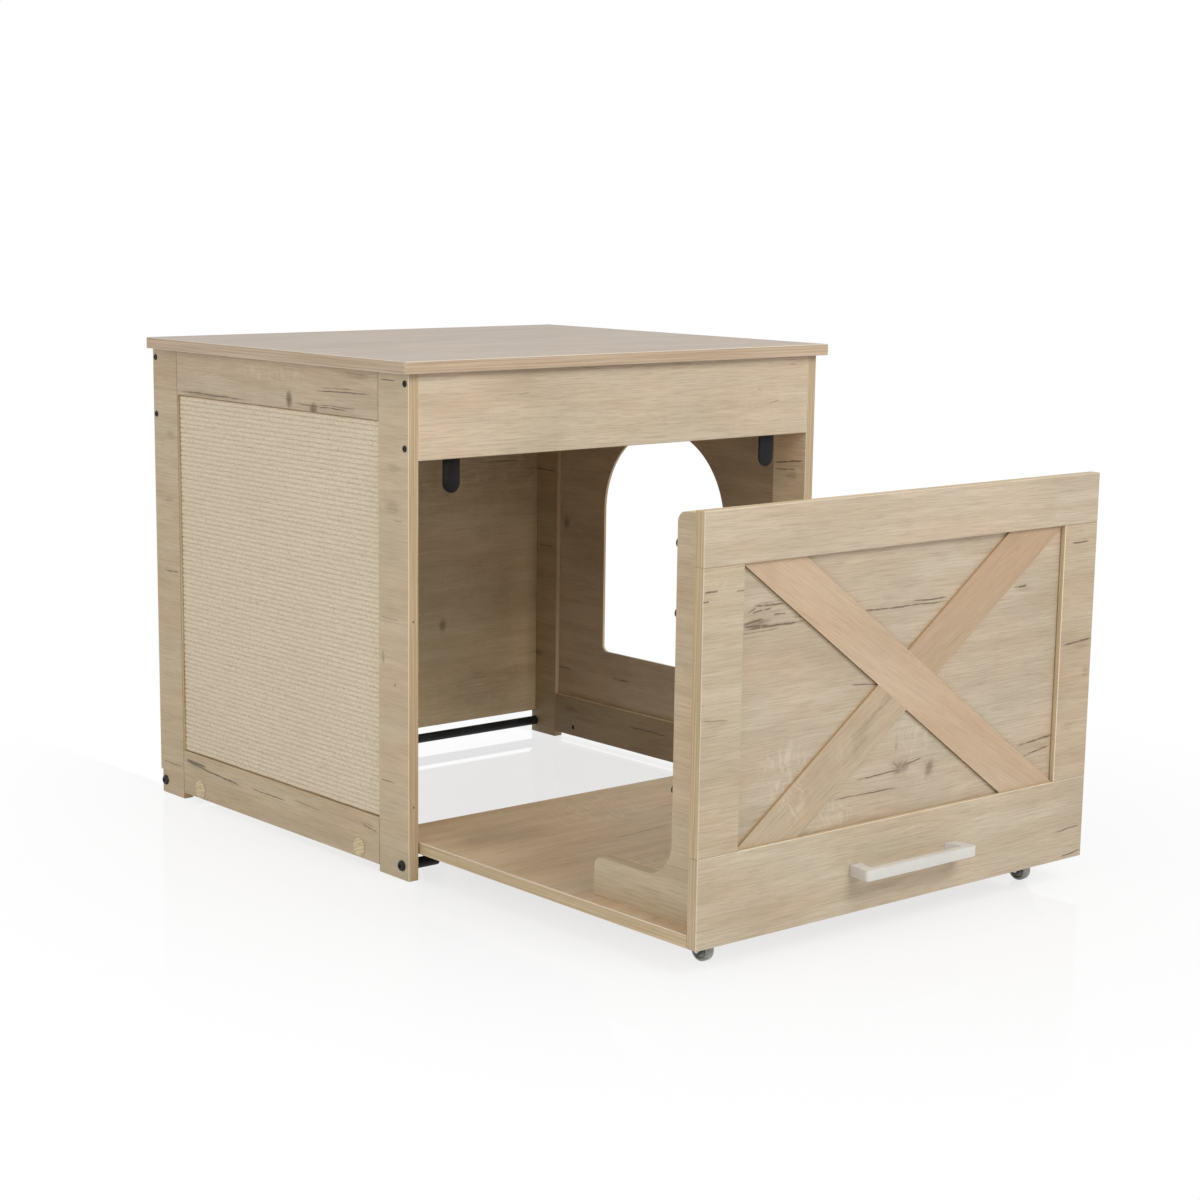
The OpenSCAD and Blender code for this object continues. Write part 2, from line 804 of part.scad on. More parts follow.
// One side of the fork in Y and Z: it slants back from the web to the axle
module leg_outline() {
    difference() {
        union() {
            polygon([
                [-kingpin_d, web_z + web_t], [-kingpin_d, web_z - 1], [trail - 4.2, axle_z - 2],
                [trail + 4.2, axle_z - 1], [trail + 3.6, web_z + web_t]
            ]);
            translate([trail, axle_z]) circle(r = 4.6);
        }
        translate([trail, axle_z]) circle(d = axle_d + 0.1);
    }
}

module caster_fork(sx, i) {
    color(black_metal) at_caster(sx, i) {
        for (s = [-1, 1])
            translate([s * (fork_w - leg_t) / 2 - leg_t / 2, 0, 0]) rotate([90, 0, 90])
                linear_extrude(leg_t) leg_outline();
        translate([-fork_w / 2, -kingpin_d, web_z]) cube([fork_w, kingpin_d + trail + 3.6, web_t]);
        cylinder_between(web_z, caster_h - plate_t - 0.15, kingpin_d + 4);
        cylinder_between(web_z, caster_h - 0.2, kingpin_d);
    }
}

module cylinder_between(low, high, d) {
    translate([0, 0, low]) cylinder(d = d, h = high - low);
}

// Wheel with a hub, a thin disc and a rounded tread, about its own axis
module wheel_profile() {
    r = wheel_d / 2;
    w = wheel_w / 2;
    bore = axle_d / 2 + run_gap;
    polygon([
        [bore, -w], [bore + 1.8, -w], [bore + 2.4, -w + 2.2], [r - 4, -w + 2.2], [r - 3.4, -w + 0.4],
        [r - 2, -w], [r - 0.9, -w + 0.6], [r - 0.2, -w + 1.8], [r, 0],
        [r - 0.2, w - 1.8], [r - 0.9, w - 0.6], [r - 2, w], [r - 3.4, w - 0.4],
        [r - 4, w - 2.2], [bore + 2.4, w - 2.2], [bore + 1.8, w], [bore, w]
    ]);
}

module caster_wheel(sx, i) {
    color(smoke_plastic) at_caster(sx, i) translate([0, trail, axle_z]) rotate([0, 90, 0])
        rotate_extrude() wheel_profile();
}

module caster_axle(sx, i) {
    reach = fork_w / 2 + 0.1;
    color(steel) at_caster(sx, i) translate([0, trail, axle_z]) rotate([0, 90, 0]) {
        translate([0, 0, -reach]) cylinder(d = axle_d, h = 2 * reach);
        for (s = [-1, 1])
            translate([0, 0, s * (reach + 0.4) - 0.4]) cylinder(d = axle_d + 2, h = 0.8);
    }
}

module caster_screws() {
    color(steel) for (sx = [-1, 1], i = [0, 1]) at_caster(sx, i)
        for (x = [-plate_hole, plate_hole], y = [-plate_hole, plate_hole])
            translate([x, y, caster_h - plate_t]) {
                translate([0, 0, -0.7]) cylinder(d1 = 3.6, d2 = 4.8, h = 0.65);
                translate([0, 0, -0.1]) cylinder(d = plate_screw_d, h = plate_t + caster_screw_bite - 1);
            }
}

top_panel();
front_apron();
back_panel();
front_stile(false);  // left_front_stile
rear_stile(false);  // left_rear_stile
side_top_rail(false);  // left_top_rail
side_bottom_rail(false);  // left_bottom_rail
front_stile(true);  // right_front_stile
rear_stile(true);  // right_rear_stile
side_top_rail(true);  // right_top_rail
side_bottom_rail(true);  // right_bottom_rail
left_inset_panel();
scratch_pad();
arch_panel();
back_bar();
front_peg(false);  // front_left_peg
front_peg(true);  // front_right_peg
bar_bolts();
case_screws();
case_dowels();
hole_covers();
stop_plate(-1);  // left_stop_plate
stop_plate(1);  // right_stop_plate
stop_screws();
drawer_rail(field_top, front_top_rail);  // drawer_top_rail
drawer_rail(front_z, front_bottom_rail);  // drawer_bottom_rail
drawer_stile(-1);  // drawer_left_stile
drawer_stile(1);  // drawer_right_stile
drawer_inset_panel();
brace_long();
brace_half(1);  // brace_upper
brace_half(-1);  // brace_lower
drawer_dowels();
tray_board();
bracket(-1);  // left_bracket
bracket(1);  // right_bracket
bracket_bolts();
tray_screws();
handle();
handle_screws();
caster_screws();
caster_plate(-1, 0);  // front_left_plate
caster_fork(-1, 0);  // front_left_fork
caster_wheel(-1, 0);  // front_left_wheel
caster_axle(-1, 0);  // front_left_axle
caster_plate(1, 0);  // front_right_plate
caster_fork(1, 0);  // front_right_fork
caster_wheel(1, 0);  // front_right_wheel
caster_axle(1, 0);  // front_right_axle
caster_plate(-1, 1);  // rear_left_plate
caster_fork(-1, 1);  // rear_left_fork
caster_wheel(-1, 1);  // rear_left_wheel
caster_axle(-1, 1);  // rear_left_axle
caster_plate(1, 1);  // rear_right_plate
caster_fork(1, 1);  // rear_right_fork
caster_wheel(1, 1);  // rear_right_wheel
caster_axle(1, 1);  // rear_right_axle
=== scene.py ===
"""Dresses the cat house: foil-faced boards, ribbed sisal cord, black steel and small casters."""

import logging
import math
from dataclasses import dataclass
from enum import Enum
from typing import Callable, Iterable, Optional, Sequence, Union

import bmesh
import bpy
from mathutils import Matrix, Vector


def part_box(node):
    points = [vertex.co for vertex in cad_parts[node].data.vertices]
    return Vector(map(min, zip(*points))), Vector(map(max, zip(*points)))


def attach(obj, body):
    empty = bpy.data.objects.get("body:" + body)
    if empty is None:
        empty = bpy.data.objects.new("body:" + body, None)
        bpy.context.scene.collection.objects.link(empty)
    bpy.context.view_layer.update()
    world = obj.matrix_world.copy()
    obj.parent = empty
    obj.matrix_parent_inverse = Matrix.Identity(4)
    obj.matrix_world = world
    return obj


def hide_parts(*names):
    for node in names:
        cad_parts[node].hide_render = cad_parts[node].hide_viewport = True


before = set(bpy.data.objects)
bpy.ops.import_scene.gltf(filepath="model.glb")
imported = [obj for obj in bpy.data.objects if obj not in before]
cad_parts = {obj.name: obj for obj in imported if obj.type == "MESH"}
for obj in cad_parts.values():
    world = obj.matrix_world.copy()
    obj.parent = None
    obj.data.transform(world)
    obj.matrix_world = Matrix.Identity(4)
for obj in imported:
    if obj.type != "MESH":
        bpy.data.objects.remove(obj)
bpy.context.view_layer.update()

log = logging.getLogger("cat_house")

Number = Union[int, float]
Point = tuple[float, float, float]
Colour = tuple[float, float, float]


class Axis(Enum):
    """A direction of the shared frame."""

    X = 0
    Y = 1
    Z = 2


class MarkKind(Enum):
    """What a mark printed on the foil looks like."""

    CRACK = "crack"
    KNOT = "knot"
    SMUDGE = "smudge"
    FLECK = "fleck"


X, Y, Z = Axis.X, Axis.Y, Axis.Z
KNOT, SMUDGE, FLECK = MarkKind.KNOT, MarkKind.SMUDGE, MarkKind.FLECK


def _operator(operation: str, swapped: bool = False) -> Callable[..., "Wire"]:
    """Makes one of Wire's operators.

    Args:
        operation: the operation of the Math node that it adds.
        swapped: whether the other value comes first.

    Returns:
        The operator, as a method.
    """
    def method(wire: "Wire", other: object = 0.0) -> "Wire":
        """Adds the node."""
        first, second = (other, wire) if swapped else (wire, other)
        return wire._sum(operation, first, second)

    return method


class Wire:
    """A shader value that takes part in ordinary arithmetic."""

    def __init__(self, recipe: "Recipe", socket: bpy.types.NodeSocket) -> None:
        """Keeps the recipe that adds nodes and the socket that carries the value."""
        self.recipe = recipe
        self.socket = socket

    def _sum(self, operation: str, first: object, second: object = 0.0, clamp: bool = False) -> "Wire":
        """Adds one Math node.

        Args:
            operation: the node's operation.
            first: its first value or wire.
            second: its second value or wire.
            clamp: whether the result is held between 0 and 1.

        Returns:
            The node's result.
        """
        settings = {"operation": operation, "use_clamp": clamp}
        return self.recipe.node("ShaderNodeMath", settings, {0: first, 1: second})

    __add__, __radd__ = _operator("ADD"), _operator("ADD", True)
    __sub__, __rsub__ = _operator("SUBTRACT"), _operator("SUBTRACT", True)
    __mul__, __rmul__ = _operator("MULTIPLY"), _operator("MULTIPLY", True)
    __truediv__, __pow__, __abs__ = _operator("DIVIDE"), _operator("POWER"), _operator("ABSOLUTE")
    over = _operator("GREATER_THAN")  # 1 where this wire is above a limit and 0 elsewhere
    larger = _operator("MAXIMUM")
    sine = _operator("SINE")

    def held(self) -> "Wire":
        """Holds this wire between 0 and 1."""
        return self._sum("ADD", self, 0.0, True)

    def ramp(self, low: Number, high: Number) -> "Wire":
        """Rises smoothly from 0 at low to 1 at high.

        Args:
            low: where the rise starts.
            high: where it ends.

        Returns:
            The smooth step.
        """
        settings = {"interpolation_type": "SMOOTHSTEP", "clamp": True}
        return self.recipe.node("ShaderNodeMapRange", settings, {0: self, 1: low, 2: high, 3: 0.0, 4: 1.0})


class Recipe:
    """One node material and the calls that add to it."""

    def __init__(self, name: str) -> None:
        """Starts a material with a principled shader on its output."""
        self.material = bpy.data.materials.new(name)
        self.material.use_nodes = True
        self.tree = self.material.node_tree
        self.tree.nodes.clear()
        self.shader = self.tree.nodes.new("ShaderNodeBsdfPrincipled")
        output = self.tree.nodes.new("ShaderNodeOutputMaterial")
        self.tree.links.new(self.shader.outputs[0], output.inputs[0])
        self.place = self.node("ShaderNodeTexCoord", {}, {}, "Object")

    def node(self, kind: str, settings: dict, sockets: dict, output: Union[int, str] = 0) -> Wire:
        """Adds any node.

        Args:
            kind: the node's type.
            settings: its properties, set before its sockets.
            sockets: values or wires by socket name or index.
            output: which result to hand back.

        Returns:
            The chosen result.
        """
        made = self.tree.nodes.new(kind)
        for key, value in settings.items():
            setattr(made, key, value)
        for key, value in sockets.items():
            self.feed(made.inputs[key], value)
        return Wire(self, made.outputs[output])

    def feed(self, socket: bpy.types.NodeSocket, value: object) -> None:
        """Links a wire to a socket, or sets the socket's own value."""
        if isinstance(value, Wire):
            self.tree.links.new(value.socket, socket)
        elif isinstance(value, (tuple, list)) and len(value) == 3 and socket.type == "RGBA":
            socket.default_value = (*value, 1.0)
        else:
            socket.default_value = value

    def mix(self, factor: object, first: object, second: object, blend: str = "MIX") -> Wire:
        """Mixes two colours.

        Args:
            factor: how much of the second colour.
            first: the first colour.
            second: the second colour.
            blend: the way they are mixed.

        Returns:
            The mixed colour.
        """
        settings = {"data_type": "RGBA", "blend_type": blend}
        return self.node("ShaderNodeMix", settings, {0: factor, 6: first, 7: second}, 2)

    def split(self, vector: Wire) -> tuple[Wire, Wire, Wire]:
        """Takes a vector apart."""
        made = self.tree.nodes.new("ShaderNodeSeparateXYZ")
        self.feed(made.inputs[0], vector)
        return Wire(self, made.outputs[0]), Wire(self, made.outputs[1]), Wire(self, made.outputs[2])

    def noise(self, x: object, y: object, z: object = 0.0, detail: Number = 2, rough: Number = 0.5) -> Wire:
        """Samples smooth noise at a point.

        Args:
            x: first coordinate, already scaled.
            y: second coordinate, already scaled.
            z: third coordinate, already scaled.
            detail: octaves.
            rough: weight of the finer octaves.

        Returns:
            A value about 0.5.
        """
        point = self.node("ShaderNodeCombineXYZ", {}, {0: x, 1: y, 2: z})
        sockets = {"Vector": point, "Scale": 1.0, "Detail": detail, "Roughness": rough}
        return self.node("ShaderNodeTexNoise", {}, sockets, "Fac")

    def normal(self) -> tuple[Wire, Wire, Wire]:
        """Gives the surface's direction on the piece itself."""
        return self.split(self.node("ShaderNodeTexCoord", {}, {}, "Normal"))

    def finish(self, colour: object, roughness: object, height: Optional[Wire] = None,
               depth: float = 0.0003, **fixed: object) -> bpy.types.Material:
        """Feeds the shader.

        Args:
            colour: base colour.
            roughness: value or wire.
            height: relief from 0 to 1.
            depth: what a height of 1 stands for, in metres.
            fixed: further sockets by name, with spaces written as underscores.

        Returns:
            The finished material.
        """
        self.feed(self.shader.inputs["Base Color"], colour)
        self.feed(self.shader.inputs["Roughness"], roughness)
        for name, value in fixed.items():
            self.feed(self.shader.inputs[name.replace("_", " ")], value)
        if height is not None:
            sockets = {"Strength": 1.0, "Distance": depth, "Height": height}
            self.feed(self.shader.inputs["Normal"], self.node("ShaderNodeBump", {}, sockets, "Normal"))
        return self.material


# Colours of the printed oak, before each board's own tint.
OAK_PALE: Colour = (0.665, 0.562, 0.408)
OAK_MID: Colour = (0.575, 0.472, 0.328)
OAK_DEEP: Colour = (0.400, 0.312, 0.205)
OAK_DUSK: Colour = (0.300, 0.232, 0.155)
OAK_FLECK: Colour = (0.80, 0.70, 0.54)
OAK_STAIN: Colour = (0.285, 0.205, 0.130)
OAK_CRACK: Colour = (0.135, 0.088, 0.052)
WARM_DRIFT: Colour = (1.03, 0.975, 0.950)

# Colours of the band round the edges, of the painted highlight and the dark joints on the eased corners, and
# of the painted contact shade where a panel meets an edge.
BAND_TAN: Colour = (0.53, 0.39, 0.225)
BAND_LIGHT: Colour = (0.72, 0.565, 0.365)
BAND_SHADE: Colour = (0.49, 0.355, 0.20)
CORNER_HIGHLIGHT: Colour = (0.92, 0.83, 0.68)
CORNER_DARK: Colour = (0.30, 0.21, 0.13)
CONTACT_SHADE_DARK: Colour = (0.16, 0.11, 0.07)

# Sizes of the print in metres.
CRACK_SWAY = 0.0026  # how far a crack wanders
HALO_REACH = 0.0016  # how far its brown halo goes past it
GRAIN_SWAY = 0.0035  # how far the grain lines sway
FOIL_RELIEF = 0.00016  # depth of the pores


def tinted(colour: Colour, tint: Colour) -> Colour:
    """Multiplies a colour by a tint."""
    return colour[0] * tint[0], colour[1] * tint[1], colour[2] * tint[2]


@dataclass(frozen=True)
class Mark:
    """A crack, knot, smudge or patch of flecks of the printed oak, in millimetres.

    Attributes:
        along: its middle along the grain, in the shared frame.
        across: its middle across the grain.
        length: its length along the grain.
        width: its width across the grain.
        kind: what it looks like.
        slope: its rise across the grain for each step along it.
        strength: how strong it is.
    """

    along: float
    across: float
    length: float
    width: float
    kind: MarkKind = MarkKind.CRACK
    slope: float = 0.0
    strength: float = 1.0


@dataclass
class Print:
    """The colour masks that the marks of one board add up to.

    Attributes:
        dark: cracks and knots.
        stain: brown halos and smudges.
        pale: light flecks.
    """

    dark: Wire
    stain: Wire
    pale: Wire


@dataclass
class Unevenness:
    """The noises that all marks of one board share.

    Attributes:
        ripple: slow bends about 0.
        crumb: fine crumbling about 0.
        body: thickness along the grain.
        strokes: soft curved strokes across the grain.
        lines: fine lines along the grain.
    """

    ripple: Wire
    crumb: Wire
    body: Wire
    strokes: Wire
    lines: Wire


@dataclass(frozen=True)
class OakFoil:
    """Printed oak foil on one board, with a plain band round the board's edges.

    Attributes:
        name: the material's name.
        face: the direction that the board's wide faces look in.
        grain: the direction of the grain on them.
        seed: moves the print, so that no two boards share it.
        tone: tint of the print, a factor for each of red, green and blue.
        figure: how strong the print's own cracks and clouds are.
        marks: marks given one by one.
        band: whether the edges have a band.
        turn: turn of the grain in the plane of the board, in degrees.
        sheen: how strongly the foil reflects.
        grit: how strong the fine grain is.
        corner_highlight: how strong the painted highlight on the eased corners is.
        edge_tone: tint of the band.
        seams: the sides where another board joins, such as "+Y"; their eased corners are dark.
        contact_shade: a side, or "*" for all, and the depth in millimetres of the painted contact shade, a
            dark line on the edge where it meets a panel.
        calm: how plain the print is, from 0 to 1, or below 0 for a livelier one.
        inner: the side that the inner face looks to, and its tint: painted shade inside the cabinet where
            below 1, painted light where above 1.
    """

    name: str
    face: Axis
    grain: Axis
    seed: float = 0.0
    tone: Colour = (1.0, 1.0, 1.0)
    figure: float = 1.0
    marks: tuple[Mark, ...] = ()
    band: bool = True
    turn: float = 0.0
    sheen: float = 0.38
    grit: float = 1.0
    corner_highlight: float = 0.35
    edge_tone: Colour = (1.0, 1.0, 1.0)
    seams: tuple[str, ...] = ()
    contact_shade: tuple[str, float] = ("", 0.0)
    calm: float = 0.0
    inner: tuple[str, Colour] = ("", (1.0, 1.0, 1.0))

    @staticmethod
    def _mark(mark: Mark, along: Wire, across: Wire, shared: Unevenness, found: Print) -> None:
        """Adds one mark to the print's masks.

        Args:
            mark: the mark.
            along: place along the grain in metres.
            across: place across the grain.
            shared: the board's own unevenness.
            found: the masks that it is added to.
        """
        long, wide = mark.length / 2000, mark.width / 2000
        run = along - mark.along / 1000
        rise = across - mark.across / 1000 - run * mark.slope
        if mark.kind is MarkKind.CRACK:
            rise = abs(rise + shared.ripple * CRACK_SWAY)
            ends = ((1 - abs(run) / long) * 3).held()
            thick = (1.25 - rise / (wide * (shared.body * 1.3 + 0.34))).held()
            halo = (1 - rise / (wide * 4 + HALO_REACH)).held()
            broken = shared.body.ramp(0.32, 0.44) * 0.45 + 0.55
            found.dark = found.dark.larger(thick * ends * broken * mark.strength)
            found.stain = found.stain.larger(halo * ends * (0.16 * mark.strength))
            return
        away = ((run / long) ** 2 + (rise / wide) ** 2) ** 0.5 + shared.ripple * 0.9 + shared.crumb * 0.8
        if mark.kind is MarkKind.FLECK:
            zone = (1 - away).ramp(0.0, 0.6)
            found.pale = found.pale.larger(zone * shared.strokes * mark.strength)
        elif mark.kind is MarkKind.SMUDGE:
            zone = (1 - away).ramp(0.0, 0.8)
            found.stain = found.stain.larger(zone * (shared.lines * 0.55 + 0.45) * mark.strength)
        else:
            core = (1.35 - away * 1.35).held() * (shared.lines * 0.25 + shared.crumb * 2.4 + 0.62).held()
            found.dark = found.dark.larger(core * (0.90 * mark.strength))
            found.stain = found.stain.larger((1.35 - away).ramp(0.0, 0.9) * (0.62 * mark.strength))

    def _masks(self, r: Recipe, u: Wire, v: Wire, bent: Wire, along: Wire, across: Wire) -> Print:
        """Gathers the print's cracks, stains and flecks.

        Args:
            r: the material being built.
            u: place along the grain, moved by the seed.
            v: place across the grain, moved by the seed.
            bent: place across the grain, swaying with the print.
            along: place along the grain in the shared frame.
            across: place across the grain in the shared frame.

        Returns:
            The masks.
        """
        curve = r.noise(u * 26, v * 26, self.seed + 9, 2) - 0.5
        strokes = r.noise(u * 240 + curve * 9, v * 52 + curve * 5, self.seed + 11, 2, 0.6).ramp(0.44, 0.68)
        shared = Unevenness(
            r.noise(u * 60, v * 40, self.seed + 17, 3, 0.6) - 0.5,
            r.noise(u * 210, v * 260, self.seed + 29, 3, 0.65) - 0.5,
            r.noise(u * 95, bent * 30, self.seed + 19, 2, 0.6),
            strokes,
            r.noise(u * 34, bent * 480, self.seed + 27, 2, 0.6).ramp(0.40, 0.62),
        )
        split_zone = r.noise(u * 4, v * 13, self.seed + 13, 1).ramp(0.56, 0.68)
        splits = r.noise(u * 9, bent * 260, self.seed + 15, 2).ramp(0.66, 0.74) * split_zone
        patch = r.noise(u * 6, v * 9, self.seed + 23, 1).ramp(0.58, 0.74)
        found = Print(splits * 0.34 * self.figure, split_zone * 0.06 * self.figure, patch * strokes * 0.35)
        for mark in self.marks:
            self._mark(mark, along, across, shared, found)
        return found

    def make(self) -> bpy.types.Material:
        """Builds the material.

        Returns:
            The foil's material.
        """
        r = Recipe(self.name)
        xyz = r.split(r.place)
        side = [a for a in Axis if a not in (self.face, self.grain)][0]
        along, across, depth = xyz[self.grain.value], xyz[side.value], xyz[self.face.value]
        cosine, sine = math.cos(math.radians(self.turn)), math.sin(math.radians(self.turn))
        u = along * cosine + across * sine + self.seed * 1.37
        v = across * cosine - along * sine + self.seed * 0.71
        sway = r.noise(u * 4, v * 9, self.seed, 2) - 0.5
        bent = v + sway * GRAIN_SWAY
        fibre = r.noise(u * 11, bent * 460, self.seed, 3, 0.6)
        dash = r.noise(u * 30, bent * 760, self.seed + 1, 2, 0.5).ramp(0.50, 0.62)
        hair = r.noise(u * 50, bent * 1350, self.seed + 2, 2, 0.6)
        figure = r.noise(u * 5, bent * 60, self.seed + 3, 4, 0.6)
        cloud = r.noise(u * 5.5, v * 11, self.seed + 5, 3, 0.55)
        mottle = r.noise(u * 22, v * 45, self.seed + 6, 3, 0.6)
        pores = r.noise(u * 45, bent * 900, self.seed + 7, 1).ramp(0.64, 0.76)
        drift = r.noise(u * 7, v * 15, self.seed + 25, 2)
        masks = self._masks(r, u, v, bent, along, across)
        pale, mid, deep, dusk, light = (tinted(c, self.tone) for c in
                                        (OAK_PALE, OAK_MID, OAK_DEEP, OAK_DUSK, OAK_FLECK))
        colour = r.mix(figure.ramp(0.30, 0.68) * (1 - self.calm) + 0.55 * self.calm, mid, pale)
        colour = r.mix(cloud.ramp(0.46, 0.78) * (0.42 - 0.34 * self.calm), colour, deep)
        colour = r.mix(fibre.ramp(0.42, 0.66) * (0.24 * self.grit), colour, deep)
        colour = r.mix(mottle.ramp(0.48, 0.74) * (0.26 - 0.20 * self.calm), colour, pale)
        colour = r.mix(dash * (0.22 * self.grit), colour, dusk)
        colour = r.mix(hair.ramp(0.45, 0.70) * (0.20 * self.grit), colour, deep)
        colour = r.mix(pores * (0.24 * self.grit), colour, dusk)
        colour = r.mix(drift.ramp(0.36, 0.66), colour, WARM_DRIFT, "MULTIPLY")
        colour = r.mix(masks.pale * 0.40, colour, light)
        colour = r.mix(masks.stain * 0.80, colour, OAK_STAIN)
        colour = r.mix(masks.dark * 0.92, colour, OAK_CRACK)
        # Painted light and shade on the inner face: darker inside the cabinet, lighter near the opening.
        if self.inner[0]:
            inward = self._toward(r.normal(), self.inner[0]).over(0.5)
            colour = r.mix(inward, colour, self.inner[1], "MULTIPLY")
        relief = (1 - dash) * 0.35 + hair * 0.25 + (1 - pores) * 0.2 + (1 - masks.dark) * 0.2
        rough = 0.44 + fibre * 0.14
        if self.band:
            colour, rough = self._band(r, xyz, depth, colour, rough)
        return r.finish(colour, rough, relief, FOIL_RELIEF, Specular_IOR_Level=self.sheen)

    def _band(self, r: Recipe, xyz: Sequence[Wire], depth: Wire, colour: Wire,
              rough: Wire) -> tuple[Wire, Wire]:
        """Adds the band that covers the board's edges.

        Args:
            r: the material being built.
            xyz: the place.
            depth: the place through the board.
            colour: the foil's colour.
            rough: the foil's roughness.

        Returns:
            Colour and roughness of foil and band together.
        """
        facing = r.normal()
        first, second = [a for a in Axis if a is not self.face]
        on_first = abs(facing[first.value]).over(0.5)
        run = xyz[first.value] + (xyz[second.value] - xyz[first.value]) * on_first
        streak = r.noise(run * 6, depth * 700, self.seed + 21, 3, 0.6)
        slow = r.noise(run * 18, depth * 300, self.seed + 23, 2)
        base, light, shade = (tinted(c, self.edge_tone) for c in (BAND_TAN, BAND_LIGHT, BAND_SHADE))
        tan = r.mix(slow.ramp(0.5, 0.75) * 0.3, r.mix(streak.ramp(0.34, 0.66), base, light), shade)
        level = abs(facing[self.face.value])
        edge = 1 - level.ramp(0.35, 0.62)
        corner = level.ramp(0.35, 0.6) * (1 - level.ramp(0.8, 0.97))
        joined: Union[float, Wire] = 0.0
        for side in self.seams:
            joined = self._toward(facing, side).over(0.3) + joined
        colour = r.mix(edge, colour, tan)
        # Painted contact shade: a dark line along the edge where it meets the panel.
        if self.contact_shade[0]:
            line = (1.2 - abs(depth * 1000 - self.contact_shade[1]) * 1.1).held() * edge
            if self.contact_shade[0] != "*":
                line = line * self._toward(facing, self.contact_shade[0]).over(0.5)
            colour = r.mix(line * 0.7, colour, CONTACT_SHADE_DARK)
        # Painted highlight on the eased corners, and dark joints where another board meets.
        colour = r.mix(corner * (self.corner_highlight * (1 - joined)), colour, CORNER_HIGHLIGHT)
        colour = r.mix(corner * (0.65 * joined), colour, CORNER_DARK)
        return colour, rough + edge * 0.06

    @staticmethod
    def _toward(facing: Sequence[Wire], side: str) -> Wire:
        """Tells how far a surface looks toward a side such as "+Y"."""
        return facing[Axis[side[1]].value] * (1.0 if side[0] == "+" else -1.0)


STRIP_LEAN = 30.7  # degrees between the crossed strips and the drawer front's rails
# Band of the long strip, darker because its seen side looks down: painted shade.
STRIP_EDGE_SHADE: Colour = (0.42, 0.34, 0.27)
STRIP_GOLD: Colour = (0.66, 0.56, 0.44)
PANEL_FACE = -420.0  # place of the drawer's inset panel, in millimetres along Y

